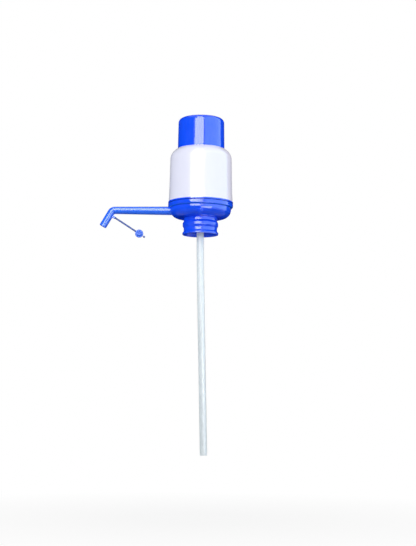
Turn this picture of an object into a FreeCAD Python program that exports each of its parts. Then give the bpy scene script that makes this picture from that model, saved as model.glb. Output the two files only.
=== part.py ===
"""Hand press pump for a large water bottle, one STEP file per piece.

The pump sits on the bottle's mouth. Pressing the cap squeezes a bellows, which pushes air through the
deck and the plug into the bottle, and the air drives the water up the dip tube and out of the spout.

Millimetres, +Z up. The origin is the centre of the gasket's underside, where the rim of the bottle's
mouth lies. The spout leaves along -X, and the air release button is at the front, along -Y.
"""
import FreeCAD
import Part
import math
import os

V = FreeCAD.Vector
X_AXIS = V(1, 0, 0)
Y_AXIS = V(0, 1, 0)
Z_AXIS = V(0, 0, 1)
ORIGIN = V(0, 0, 0)

# Edges and cutters
FINE_EDGE = 0.3            # roundings of moulded edges
EDGE = 0.5
SOFT_EDGE = 1.0
OVERCUT = 1.0              # how far a cutter runs past a face, or a rib into its wall
SIDE_USE = 0.96            # share of a side that the roundings at its ends may take up
SMALLEST = 1e-5            # lengths under this count as none

# The bottle's mouth
CROWN_R = 27.5             # bead round the mouth, the usual 55 mm crown
NECK_R = 25.85             # neck under the bead
NECK_FIT = 0.25            # room between the neck and the collar
CROWN_FIT = 0.4            # room between the bead and the collar's groove

# Clearances
SEAT_GAP = 0.1             # between two stationary pieces that are pushed together
RUN_GAP = 0.08             # between a shaft and its bore
RUBBER_GAP = 0.05          # round a rubber piece in its groove
SOFT_GAP = 0.3             # between a rubber piece and a neighbour that moves

# Neck gasket and plug
GASKET_T = 2.4
GASKET_LIP = 1.4           # from the air holes to the gasket's inner edge
PLUG_DROP = 3.2            # how far the plug reaches down from the bowl
PLUG_WALL = 2.4
PLUG_FLOOR = 2.4
PLUG_BEAD = 0.5            # snap bead that holds the collar
PLUG_BEAD_H = 0.9
AIR_HOLES = 6
AIR_HOLE_R = 2.2
AIR_HOLE_SPACE = 0.8       # between the elbow's flange and the air holes

# Collar, stretches of its wall from the top down
COLLAR_WALL = 1.7
COLLAR_TOP_H = 5.8         # plain wall round the plug
COLLAR_SHOULDER_H = 3.4    # swells out to the groove for the bead
COLLAR_CREST_H = 4.4       # groove for the bead
COLLAR_FLANK_H = 3.8       # draws in under the bead
COLLAR_WAIST_H = 5.2       # grips the neck
COLLAR_FLARE_H = 2.8       # opens out to the lip
COLLAR_LIP_H = 2.8
COLLAR_LIP_OUT = 2.1       # lip stands out from the waist
COLLAR_ROUND = 1.6

# Bellows and its plate: the bellows' crest sets the width of all that goes round it
BELLOWS_CREST_R = 34.4
BELLOWS_WALL = 1.0
BELLOWS_FOLD = 6.0         # depth of a fold
BELLOWS_FOLDS = 9
BELLOWS_CUFF_SET = 2.4     # lower cuff, inside the crests
BELLOWS_CUFF_H = 4.5
BELLOWS_FOOT_OUT = 3.0     # foot, outside the crests
BELLOWS_FOOT_T = 1.6
BELLOWS_LID_T = 1.4
BELLOWS_TOP_SET = 0.4      # upper cuff, inside the crests
BELLOWS_SHOULDER = 1.5     # slope from the last fold out to the upper cuff
SHOULDER_RISE = 0.4        # inner corners of that slope lie this much higher
BELLOWS_ROUND = 1.2
PLATE_SET = 1.4            # plate's edge, inside the crests
PLATE_LAP = 7.0            # the lid reaches this far under the plate's edge
PLATE_LIP = 2.5            # lip under the lid
PLATE_T = 2.2
PLATE_LIP_T = 1.6

# Clamp ring and screws
RING_IN = 2.8              # from the cuff to the ring
RING_SEAT = 8.1            # ring's width outside the bellows' foot
RING_T = 2.4               # over the bellows' foot
SCREWS = 4
SCREW_R = 1.45
SCREW_LENGTH = 13.0
SCREW_HEAD_R = 2.9
SCREW_HEAD_H = 2.2
SCREW_HOLE_R = 1.7
SCREW_POINT_H = 1.5        # cone at the screw's end
SCREW_TIP_ROOM = 1.0       # pilot hole under the screw's end
SCREW_HEAD_ROUND = 1.4
RECESS_SPAN = 3.8          # cross recess in the head
RECESS_W = 0.7
RECESS_DEPTH = 1.3
PILLAR_R = 4.2

# Press cap
CAP_ROOM = 2.5             # from the bellows to the cap's inside
CAP_WALL = 2.2
CAP_DRAFT = 0.8            # narrower at the top than at the cover's mouth
CAP_OUT_H = 51.6           # stands out of the cover
CAP_IN_H = 15.0            # reaches down inside the cover
CAP_ROUND = 7.0
CAP_DOME = 1.0
CAP_TOP_T = 2.6
CAP_FLANGE = 3.9
CAP_FLANGE_T = 2.4
CAP_GUIDE_GAP = 0.5
CAP_STOP_GAP = 0.4
CAP_RIB_T = 1.6
CAP_RIB_H = 3.8
CAP_RIBS = 6
CAP_RING_SET = 2.0         # round rib, inside the bellows' lid

# Deck
DECK_T = 2.8
DECK_RIM_H = 3.0
DECK_RIM_OUT = 0.8         # rim stands out from the cover's foot
DECK_GASKET_T = 1.0
DECK_SKIRT_WALL = 2.0
SPIGOT_ROOM = 3.4          # from the clamp ring to the ring that the cover snaps onto
SPIGOT_H = 6.0
SPIGOT_WALL = 2.0
SNAP_BEAD = 0.45
SNAP_BEAD_H = 1.4
SNAP_BEAD_UP = 3.2
POST_R = 4.5               # post that holds the elbow down

# Cover
COVER_H = 90.2
COVER_WALL = 2.2
COVER_FLARE = 0.95         # foot stands out from the waist
COVER_WAIST_UP = 21.0
COVER_DRAFT = 1.2          # waist stands out from the top
COVER_SHOULDER = 18.0
SHOULDER_DROP = 9.0        # the shoulder slopes down from the mouth by this much
COVER_BLEND = 900.0        # long curve from the flared foot to the straight wall
MOUTH_EDGE = 0.7
SLEEVE_WALL = 1.8

# Bowl and flange of the base
BOWL_H = 17.0              # from the underside to the notch
BOWL_CORNER = 14.0
BOWL_WALL = 2.4
BOWL_FLOOR = 2.2
NOTCH = 0.75               # depth of the notch in the bowl
NOTCH_SLOPE_H = 1.2        # short slope from the notch out to the bowl
FLANGE_OUT = 3.25          # flange stands out from the bowl
FLANGE_H = 6.8
FLANGE_ROUND = 2.6
GROOVE = 0.7               # half height and depth of the groove between the base and the deck's rim
STEP_DROP = 3.8            # from the base's top down to the ledge that carries the deck gasket
STEP_W = 2.55              # width of that ledge

# Umbrella valves
VALVE_T = 1.2
VALVE_EDGE_T = 0.5
VALVE_STEM_R = 1.7
VALVE_HUB_R = 3.4          # thick middle of the disc
VALVE_BEAD_R = 2.5
VALVE_BEAD_H = 1.4
INTAKE_R = 14.0
INTAKE_HOLES = 6
INTAKE_HOLE_R = 2.5
INTAKE_HOLE_SPACE = 4.3    # from the stem to the holes
DISCHARGE_R = 8.8
DISCHARGE_ROOM = 2.7       # from the post to the valve
DISCHARGE_HOLES = 5
DISCHARGE_HOLE_R = 1.7
DISCHARGE_HOLE_SPACE = 1.7

# Dip tube
TUBE_BORE_R = 4.8
TUBE_WALL = 1.2
TUBE_BEND_TOP = 12.0       # below the tube's top, where its slight set begins
TUBE_BEND_LENGTH = 80.0
TUBE_SET = 1.5             # degrees
TUBE_STRAIGHT = 296.0

# Water elbow
NIPPLE_WALL = 1.4
NIPPLE_LENGTH = 20.6
NIPPLE_LEAD = 1.2          # plain cone before the first barb
BARBS = 3
BARB_PITCH = 4.5
BARB_DEPTH = 0.35
ELBOW_STEM_OUT = 0.4       # stem stands out under the plug
ELBOW_STEM_WALL = 2.2
ELBOW_RISER_WALL = 3.2
ELBOW_FLANGE_W = 4.8
ELBOW_FLANGE_T = 2.0
ELBOW_GASKET_T = 1.2
SOCKET_WALL = 1.8
SOCKET_FLOOR_X = 15.0
SOCKET_UP = 3.7            # from the bowl's underside to the socket

# Spout
SPOUT_REACH = 147.0        # from the pump's axis to the corner of the bend
SPOUT_LEG = 31.5           # from that corner to the tip
SPOUT_BEND = 60.0          # degrees
SPOUT_BEND_R = 6.7
SPOUT_BORE_R = 4.2
SPOUT_WALL = 1.9
SPOUT_ROOT_OUT = 1.0       # thicker where it leaves the bowl
SPOUT_TIP_EDGE = 0.5
SPIGOT_WALL_T = 2.2        # wall of the sealed end
SPIGOT_FIT = 0.1
SPIGOT_END_GAP = 1.0       # from the socket's floor to the spout's end
ROOT_LENGTH = 4.0          # full thickness inside the ridge
SOCKET_END_GAP = 4.0       # from the socket's mouth to the spout's thicker stretch
RIDGE = 0.6
RIDGE_LENGTH = 2.6
RIDGE_PLAY = 0.3           # between the ridge and the boss that it snaps behind
WALL_BOSS_DEPTH = 6.85     # boss round the spout, inside the bowl's wall
WALL_BOSS_WALL = 2.1
O_RINGS = 2
O_RING_START = 7.0         # from the socket's floor to the first ring
O_RING_PITCH = 8.0
O_RING_W = 1.6
O_RING_DEPTH = 1.0

# Closure with its strap
LUG_DOWN = 8.5             # pin's place along the leg, from the corner
LUG_OUT = 2.0              # pin's height over the leg
LUG_EAR_R = 2.1
LUG_EAR_T = 1.5
LUG_GAP = 3.0
LUG_ROOT = 1.2             # ears reach this far into the leg's wall
STRAP_PIN_R = 0.92
STRAP_BARREL_R = 1.6
STRAP_DROP = 32.6          # degrees under the horizontal
STRAP_REACH = 50.1         # from the pin to the middle of the disc
STRAP_W = 2.3
STRAP_T = 1.8
STRAP_FLARE = 0.6          # strap is this much wider on each side at its ends
STRAP_ROOT = 0.8           # where the strap leaves the barrel
FLARE_IN = 4.0             # lengths of the wider ends
FLARE_OUT = 6.0
DISC_R = 6.5
STOPPER_H = 3.6
STOPPER_WALL = 1.1
STOPPER_FIT = 0.15
STOPPER_TAPER = 0.2
TAB_REACH = 9.8
TAB_R = 1.5
TAB_T = 2.4
TAB_LINK_W = 1.2
TAB_LINK_T = 1.26

# Air release button
RELEASE_TILT = 45.0        # degrees under the horizontal
RELEASE_BOSS_OUT = 1.2
RELEASE_BOSS_WALL = 1.3
RELEASE_WELL_R = 4.3
RELEASE_WELL_DEPTH = 8.0
RELEASE_WEB = 1.6
RELEASE_VENT_GAP = 0.9     # round the stem
RELEASE_STEM_R = 1.5
RELEASE_HEAD_OUT = 2.4
RELEASE_HEAD_T = 5.0
RELEASE_HEAD_DOME = 0.3
RELEASE_HEAD_ROUND = 1.1
RELEASE_SEAL_LAP = 1.4     # seal's width outside the vent
RELEASE_SEAL_T = 1.2
RELEASE_BEAD = 0.6
RELEASE_BEAD_H = 0.9
SPRING_WIRE_R = 0.3
SPRING_TURNS = 2.5
SPRING_ARCS = 4            # arcs in the wire's round section

# Radii worked out from the sizes above, from the bottle's neck and the bellows outward
COLLAR_IN_R = NECK_R + NECK_FIT
COLLAR_LIP_R = COLLAR_IN_R + COLLAR_WALL + COLLAR_LIP_OUT
CREST_IN_R = CROWN_R + CROWN_FIT
PLUG_R = COLLAR_IN_R - SEAT_GAP
TUBE_R = TUBE_BORE_R + TUBE_WALL
ELBOW_BORE_R = TUBE_BORE_R - NIPPLE_WALL
ELBOW_STEM_R = ELBOW_BORE_R + ELBOW_STEM_WALL
ELBOW_RISER_R = ELBOW_BORE_R + ELBOW_RISER_WALL
ELBOW_FLANGE_R = ELBOW_STEM_R + ELBOW_FLANGE_W
AIR_RING_R = ELBOW_FLANGE_R + AIR_HOLE_SPACE + AIR_HOLE_R
GASKET_IN_R = AIR_RING_R + AIR_HOLE_R + GASKET_LIP
BELLOWS_ROOT_R = BELLOWS_CREST_R - BELLOWS_FOLD
BELLOWS_CUFF_R = BELLOWS_CREST_R - BELLOWS_CUFF_SET
BELLOWS_FOOT_R = BELLOWS_CREST_R + BELLOWS_FOOT_OUT
BELLOWS_TOP_R = BELLOWS_CREST_R - BELLOWS_TOP_SET
PLATE_R = BELLOWS_CREST_R - PLATE_SET
PLATE_NECK_R = PLATE_R - PLATE_LAP
PLATE_LIP_R = PLATE_NECK_R + PLATE_LIP
RING_IN_R = BELLOWS_CUFF_R + RING_IN
RING_FOOT_R = BELLOWS_FOOT_R + SEAT_GAP
RING_OUT_R = RING_FOOT_R + RING_SEAT
SCREW_CIRCLE_R = (RING_FOOT_R + RING_OUT_R) / 2
CAP_IN_R = BELLOWS_CREST_R + CAP_ROOM
CAP_R = CAP_IN_R + CAP_WALL
CAP_TOP_R = CAP_R - CAP_DRAFT
CAP_RING_R = PLATE_NECK_R - CAP_RING_SET
MOUTH_R = CAP_R + CAP_GUIDE_GAP
SPIGOT_IN_R = RING_OUT_R + SPIGOT_ROOM
SPIGOT_RING_R = SPIGOT_IN_R + SPIGOT_WALL
COVER_FOOT_R = SPIGOT_RING_R + SEAT_GAP + COVER_WALL
COVER_WAIST_R = COVER_FOOT_R - COVER_FLARE
COVER_TOP_R = COVER_WAIST_R - COVER_DRAFT
FLANGE_R = COVER_FOOT_R + DECK_RIM_OUT
BOWL_R = FLANGE_R - FLANGE_OUT
BOWL_IN_R = BOWL_R - BOWL_WALL
NOTCH_R = BOWL_R - NOTCH
STEP_R = BOWL_IN_R + STEP_W
CORNER_CENTRE_R = BOWL_R - BOWL_CORNER
SPOUT_R = SPOUT_BORE_R + SPOUT_WALL
SPOUT_ROOT_R = SPOUT_R + SPOUT_ROOT_OUT
SPIGOT_R = SPOUT_BORE_R + SPIGOT_WALL_T
SOCKET_BORE_R = SPIGOT_R + SPIGOT_FIT
SOCKET_R = SOCKET_BORE_R + SOCKET_WALL
INTAKE_RING_R = VALVE_STEM_R + INTAKE_HOLE_SPACE + INTAKE_HOLE_R
DISCHARGE_RING_R = VALVE_STEM_R + DISCHARGE_HOLE_SPACE + DISCHARGE_HOLE_R
DISCHARGE_X = POST_R + DISCHARGE_ROOM + DISCHARGE_R
RELEASE_BOSS_R = RELEASE_WELL_R + RELEASE_BOSS_WALL
RELEASE_VENT_R = RELEASE_STEM_R + RELEASE_VENT_GAP
RELEASE_SEAL_R = RELEASE_VENT_R + RELEASE_SEAL_LAP
RELEASE_BEAD_R = RELEASE_STEM_R + RELEASE_BEAD
SPRING_COIL_R = (RELEASE_STEM_R + RELEASE_WELL_R) / 2

# Levels worked out from the sizes above
PLUG_Z = GASKET_T
PLUG_FLOOR_Z = PLUG_Z + PLUG_FLOOR
BOWL_Z = PLUG_Z + PLUG_DROP
NOTCH_Z = BOWL_Z + BOWL_H
BASE_TOP_Z = NOTCH_Z + FLANGE_H
STEP_Z = BASE_TOP_Z - STEP_DROP
DECK_Z = BASE_TOP_Z + DECK_RIM_H
DECK_UNDER_Z = DECK_Z - DECK_T
COVER_Z = DECK_Z
MOUTH_Z = COVER_Z + COVER_H
CAP_FOOT_Z = MOUTH_Z - CAP_IN_H
CAP_TOP_Z = MOUTH_Z + CAP_OUT_H
PLATE_Z = CAP_TOP_Z - CAP_TOP_T - CAP_RIB_H
CORNER_CENTRE_Z = BOWL_Z + BOWL_CORNER
SPOUT_Z = BOWL_Z + SOCKET_UP + SOCKET_R
ELBOW_TOP_Z = SPOUT_Z + SOCKET_R
ELBOW_FLANGE_Z = PLUG_FLOOR_Z + ELBOW_GASKET_T
ELBOW_SHOULDER_Z = PLUG_Z - ELBOW_STEM_OUT

# Places along the spout, as distances from the pump's axis
WALL_BOSS_IN_X = BOWL_R - WALL_BOSS_DEPTH
SPIGOT_ROOT_X = WALL_BOSS_IN_X - ROOT_LENGTH
SOCKET_MOUTH_X = SPIGOT_ROOT_X - SOCKET_END_GAP
SPIGOT_END_X = SOCKET_FLOOR_X + SPIGOT_END_GAP
O_RING_FIRST_X = SOCKET_FLOOR_X + O_RING_START
SPOUT_TAPER_FROM = FLANGE_R


def rounded_face(points):
    """Face in the XZ plane from corners (r, z) or (r, z, rounding), roundings limited by the sides."""
    corners = [V(p[0], 0, p[1]) for p in points]
    count = len(corners)
    backs = [corners[i - 1] - corners[i] for i in range(count)]
    aheads = [corners[(i + 1) % count] - corners[i] for i in range(count)]
    half_turns = [(math.pi - backs[i].getAngle(aheads[i])) / 2 for i in range(count)]
    wanted = [(p[2] if len(p) > 2 else 0.0) * math.tan(half_turns[i]) for i, p in enumerate(points)]
    shares = []
    for i in range(count):
        both = wanted[i] + wanted[(i + 1) % count]
        shares.append(min(1.0, SIDE_USE * aheads[i].Length / both) if both > 0 else 1.0)
    ends = []
    for i, corner in enumerate(corners):
        reach = wanted[i] * min(shares[i - 1], shares[i])
        if reach < SMALLEST:
            ends.append((corner, corner, None))
            continue
        back = backs[i].normalize()
        ahead = aheads[i].normalize()
        fitted = reach / math.tan(half_turns[i])
        inward = (back + ahead).normalize()
        middle = corner + inward * (fitted / math.cos(half_turns[i]) - fitted)
        ends.append((corner + back * reach, corner + ahead * reach, middle))
    edges = []
    for i, (start, finish, middle) in enumerate(ends):
        if middle is not None:
            edges.append(Part.Arc(start, middle, finish).toShape())
        following = ends[(i + 1) % count][0]
        if (following - finish).Length > SMALLEST:
            edges.append(Part.LineSegment(finish, following).toShape())
    return Part.Face(Part.Wire(edges))


def revolved(points):
    """Solid of revolution about Z from a closed outline of (r, z, rounding) corners."""
    return rounded_face(points).revolve(ORIGIN, Z_AXIS, 360)


def cylinder(radius, start, direction, length):
    """Cylinder from a start point along a direction."""
    return Part.makeCylinder(radius, length, start, direction)


def on_circle(radius, count, turn=0.0):
    """Points evenly round the Z axis, the first at the given angle in degrees."""
    step = 2 * math.pi / count
    first = math.radians(turn)
    return [V(radius * math.cos(first + i * step), radius * math.sin(first + i * step), 0)
            for i in range(count)]


def upright_holes(centres, radius, z_low, z_high):
    """Group of vertical cylinders to cut or to fuse."""
    height = z_high - z_low
    return Part.makeCompound([cylinder(radius, V(c.x, c.y, z_low), Z_AXIS, height) for c in centres])


def along(shape, origin, direction):
    """Turn a shape built about +Z so that it points along a direction, and move it to an origin."""
    turned = shape.copy()
    turned.Placement = FreeCAD.Placement(origin, FreeCAD.Rotation(Z_AXIS, direction))
    return turned


def collar_levels():
    """Heights where the collar's wall changes, from the top down."""
    levels = [BOWL_Z]
    for height in (COLLAR_TOP_H, COLLAR_SHOULDER_H, COLLAR_CREST_H, COLLAR_FLANK_H,
                   COLLAR_WAIST_H, COLLAR_FLARE_H, COLLAR_LIP_H):
        levels.append(levels[-1] - height)
    return levels


def bottle_collar():
    """Soft ribbed sleeve that snaps over the bottle's bead and over the plug above it."""
    top, shoulder, crest, flank, waist, flare, lip, foot = collar_levels()
    straight_out = COLLAR_IN_R + COLLAR_WALL
    crest_out = CREST_IN_R + COLLAR_WALL
    lip_in = COLLAR_LIP_R - COLLAR_WALL
    bead_z = PLUG_Z + PLUG_DROP / 2
    groove = PLUG_R + PLUG_BEAD + SEAT_GAP
    outline = [
        (straight_out, top, EDGE),
        (straight_out, shoulder, COLLAR_ROUND),
        (crest_out, crest, COLLAR_ROUND),
        (crest_out, flank, COLLAR_ROUND),
        (straight_out, waist, COLLAR_ROUND),
        (straight_out, flare, COLLAR_ROUND),
        (COLLAR_LIP_R, lip, SOFT_EDGE),
        (COLLAR_LIP_R, foot, EDGE),
        (lip_in, foot, FINE_EDGE),
        (COLLAR_IN_R, flare, COLLAR_ROUND),
        (COLLAR_IN_R, waist, COLLAR_ROUND),
        (CREST_IN_R, flank, EDGE),
        (CREST_IN_R, crest, EDGE),
        (COLLAR_IN_R, shoulder, EDGE),
        (COLLAR_IN_R, bead_z - PLUG_BEAD_H),
        (groove, bead_z - PLUG_BEAD_H / 2),
        (groove, bead_z + PLUG_BEAD_H / 2),
        (COLLAR_IN_R, bead_z + PLUG_BEAD_H),
        (COLLAR_IN_R, top, FINE_EDGE),
    ]
    return revolved(outline)


def neck_gasket():
    """Flat ring that the rim of the bottle's mouth presses against the plug."""
    return revolved([
        (GASKET_IN_R, 0), (PLUG_R - SEAT_GAP, 0),
        (PLUG_R - SEAT_GAP, PLUG_Z), (GASKET_IN_R, PLUG_Z),
    ])


def base_envelope():
    """Outside of the base as one solid: flange, notch, bowl with its round corner, plug."""
    bead_z = PLUG_Z + PLUG_DROP / 2
    return revolved([
        (0, BASE_TOP_Z), (FLANGE_R - GROOVE, BASE_TOP_Z), (FLANGE_R, BASE_TOP_Z - GROOVE),
        (FLANGE_R, NOTCH_Z, FLANGE_ROUND), (NOTCH_R, NOTCH_Z, EDGE),
        (BOWL_R, NOTCH_Z - NOTCH_SLOPE_H, SOFT_EDGE), (BOWL_R, BOWL_Z, BOWL_CORNER),
        (PLUG_R, BOWL_Z),
        (PLUG_R, bead_z + PLUG_BEAD_H), (PLUG_R + PLUG_BEAD, bead_z + PLUG_BEAD_H / 2),
        (PLUG_R + PLUG_BEAD, bead_z - PLUG_BEAD_H / 2), (PLUG_R, bead_z - PLUG_BEAD_H),
        (PLUG_R, PLUG_Z, FINE_EDGE), (0, PLUG_Z),
    ])


def cover_in_r(z):
    """Radius inside the cover's flared foot at a height."""
    share = (z - COVER_Z) / COVER_WAIST_UP
    return COVER_FOOT_R - COVER_WALL - share * (COVER_FOOT_R - COVER_WAIST_R)


def release_frame():
    """Point on the bowl's round corner and outward direction of the release button."""
    tilt = math.radians(RELEASE_TILT)
    direction = V(0, -math.cos(tilt), -math.sin(tilt))
    centre = V(0, -CORNER_CENTRE_R, CORNER_CENTRE_Z)
    return centre + direction * BOWL_CORNER, direction


def release_part(points):
    """Solid of revolution about the button's axis, heights counted outward from the bowl's surface."""
    origin, direction = release_frame()
    return along(revolved(points), origin, direction)


def release_well_floor():
    """Height of the well's floor on the button's axis."""
    return RELEASE_BOSS_OUT - RELEASE_WELL_DEPTH


def base_body():
    """Bowl that holds the air chest, with its plug, pillars, spout boss and release well."""
    envelope = base_envelope()
    chest = revolved([
        (0, PLUG_FLOOR_Z), (PLUG_R - PLUG_WALL, PLUG_FLOOR_Z, EDGE),
        (PLUG_R - PLUG_WALL, BOWL_Z + BOWL_FLOOR, SOFT_EDGE),
        (BOWL_IN_R, BOWL_Z + BOWL_FLOOR, BOWL_CORNER - BOWL_WALL),
        (BOWL_IN_R, STEP_Z), (STEP_R, STEP_Z), (STEP_R, BASE_TOP_Z), (0, BASE_TOP_Z),
    ])
    shell = envelope.cut(chest)

    pillar_feet = on_circle(SCREW_CIRCLE_R, SCREWS, 45)
    pillars = upright_holes(pillar_feet, PILLAR_R, BOWL_Z, DECK_UNDER_Z)
    boss_r = SPOUT_ROOT_R + RUN_GAP + WALL_BOSS_WALL
    wall_boss = cylinder(boss_r, V(-WALL_BOSS_IN_X, 0, SPOUT_Z), -X_AXIS, FLANGE_R - WALL_BOSS_IN_X)
    ledge = revolved([
        (BOWL_IN_R, STEP_Z), (STEP_R, STEP_Z), (STEP_R, BASE_TOP_Z), (BOWL_IN_R, BASE_TOP_Z),
    ])
    inner = wall_boss.cut(ledge).fuse(pillars.Solids).common(envelope)

    well_floor = release_well_floor()
    boss = release_part([
        (0, well_floor - RELEASE_WEB), (RELEASE_BOSS_R, well_floor - RELEASE_WEB),
        (RELEASE_BOSS_R, RELEASE_BOSS_OUT, EDGE), (0, RELEASE_BOSS_OUT),
    ])
    body = shell.fuse([inner, boss])

    well = release_part([
        (0, well_floor), (RELEASE_WELL_R, well_floor), (RELEASE_WELL_R, BOWL_CORNER), (0, BOWL_CORNER),
    ])
    vent = release_part([
        (0, well_floor - RELEASE_WEB - OVERCUT), (RELEASE_VENT_R, well_floor - RELEASE_WEB - OVERCUT),
        (RELEASE_VENT_R, well_floor + OVERCUT), (0, well_floor + OVERCUT),
    ])
    spout_axis = V(0, 0, SPOUT_Z)
    spout_bore = cylinder(SPOUT_ROOT_R + RUN_GAP, spout_axis, -X_AXIS, FLANGE_R)
    ridge_room = cylinder(SPOUT_ROOT_R + RIDGE + SEAT_GAP, spout_axis, -X_AXIS, WALL_BOSS_IN_X)
    plug_face = PLUG_Z - OVERCUT
    plug_inside = PLUG_FLOOR_Z + OVERCUT
    stem_hole = cylinder(ELBOW_STEM_R + SEAT_GAP, V(0, 0, plug_face), Z_AXIS, plug_inside - plug_face)
    air_holes = upright_holes(on_circle(AIR_RING_R, AIR_HOLES), AIR_HOLE_R, plug_face, plug_inside)
    pilot_low = DECK_Z + RING_T + BELLOWS_FOOT_T - SCREW_LENGTH - SCREW_TIP_ROOM
    pilots = upright_holes(pillar_feet, SCREW_R + RUN_GAP, pilot_low, DECK_UNDER_Z + OVERCUT)
    cuts = [well, vent, spout_bore, ridge_room, stem_hole] + air_holes.Solids + pilots.Solids
    return body.cut(cuts).removeSplitter()


def deck_gasket():
    """Ring that seals the deck's skirt on the ledge inside the base."""
    low_r = BOWL_IN_R + SEAT_GAP
    high_r = STEP_R - SEAT_GAP
    return revolved([
        (low_r, STEP_Z), (high_r, STEP_Z),
        (high_r, STEP_Z + DECK_GASKET_T), (low_r, STEP_Z + DECK_GASKET_T),
    ])


def discharge_centre():
    """Middle of the discharge valve on the deck."""
    return V(DISCHARGE_X, 0, 0)


def deck_plate():
    """Blue plate that closes the air chest, carries the bellows and holds the cover."""
    skirt_r = STEP_R - SEAT_GAP
    skirt_low = STEP_Z + DECK_GASKET_T
    spigot_top = DECK_Z + SPIGOT_H
    bead_z = DECK_Z + SNAP_BEAD_UP
    bead_root = cover_in_r(bead_z) - SEAT_GAP
    plate = revolved([
        (0, DECK_UNDER_Z), (skirt_r - DECK_SKIRT_WALL, DECK_UNDER_Z, FINE_EDGE),
        (skirt_r - DECK_SKIRT_WALL, skirt_low), (skirt_r, skirt_low),
        (skirt_r, BASE_TOP_Z), (FLANGE_R - GROOVE, BASE_TOP_Z), (FLANGE_R, BASE_TOP_Z + GROOVE),
        (FLANGE_R, DECK_Z, EDGE), (SPIGOT_RING_R, DECK_Z),
        (bead_root, bead_z - SNAP_BEAD_H / 2), (bead_root + SNAP_BEAD, bead_z),
        (bead_root, bead_z + SNAP_BEAD_H / 2),
        (cover_in_r(spigot_top) - SEAT_GAP, spigot_top, EDGE), (SPIGOT_IN_R, spigot_top, FINE_EDGE),
        (SPIGOT_IN_R, DECK_Z), (0, DECK_Z),
    ])
    post = cylinder(POST_R, V(0, 0, ELBOW_TOP_Z), Z_AXIS, DECK_Z - ELBOW_TOP_Z)
    vents = [discharge_centre() + c for c in on_circle(DISCHARGE_RING_R, DISCHARGE_HOLES)]
    through = (DECK_UNDER_Z - OVERCUT, DECK_Z + OVERCUT)
    cuts = upright_holes(vents, DISCHARGE_HOLE_R, *through).Solids
    cuts += upright_holes([discharge_centre()], VALVE_STEM_R + RUBBER_GAP, *through).Solids
    cuts += upright_holes(on_circle(SCREW_CIRCLE_R, SCREWS, 45), SCREW_HOLE_R, *through).Solids
    return plate.fuse(post).cut(cuts).removeSplitter()


def umbrella(disc_r, wall_t):
    """Umbrella valve under a wall whose underside is at z = 0, its bead above the wall."""
    bead_low = wall_t + RUBBER_GAP
    return revolved([
        (0, -VALVE_T), (VALVE_HUB_R, -VALVE_T, SOFT_EDGE), (disc_r, -VALVE_EDGE_T - RUBBER_GAP, FINE_EDGE),
        (disc_r, -RUBBER_GAP), (VALVE_STEM_R, -RUBBER_GAP),
        (VALVE_STEM_R, bead_low), (VALVE_BEAD_R, bead_low, FINE_EDGE),
        (VALVE_STEM_R, bead_low + VALVE_BEAD_H), (0, bead_low + VALVE_BEAD_H),
    ])


def discharge_valve():
    """Rubber valve that lets air out of the bellows into the chest."""
    valve = umbrella(DISCHARGE_R, DECK_T)
    valve.translate(discharge_centre() + V(0, 0, DECK_UNDER_Z))
    return valve


def plate_levels():
    """Underside of the plate's lip, top of the lip, top of the bellows' lid, top of the plate."""
    top = PLATE_Z
    under_disc = top - PLATE_T
    lid_low = under_disc - BELLOWS_LID_T - 2 * RUBBER_GAP
    return lid_low - PLATE_LIP_T, lid_low, under_disc, top


def bellows_top_plate():
    """Plate under the press cap. The bellows' lid snaps into the groove round its neck."""
    low, lid_low, under_disc, top = plate_levels()
    plate = revolved([
        (0, low), (PLATE_LIP_R, low, EDGE), (PLATE_LIP_R, lid_low), (PLATE_NECK_R, lid_low),
        (PLATE_NECK_R, under_disc), (PLATE_R, under_disc, FINE_EDGE), (PLATE_R, top, EDGE), (0, top),
    ])
    through = (low - OVERCUT, top + OVERCUT)
    cuts = upright_holes(on_circle(INTAKE_RING_R, INTAKE_HOLES), INTAKE_HOLE_R, *through).Solids
    cuts += upright_holes([ORIGIN], VALVE_STEM_R + RUBBER_GAP, *through).Solids
    return plate.cut(cuts).removeSplitter()


def intake_valve():
    """Rubber valve that lets air into the bellows as it opens."""
    low, _, _, top = plate_levels()
    valve = umbrella(INTAKE_R, top - low)
    valve.translate(V(0, 0, low))
    return valve


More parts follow.
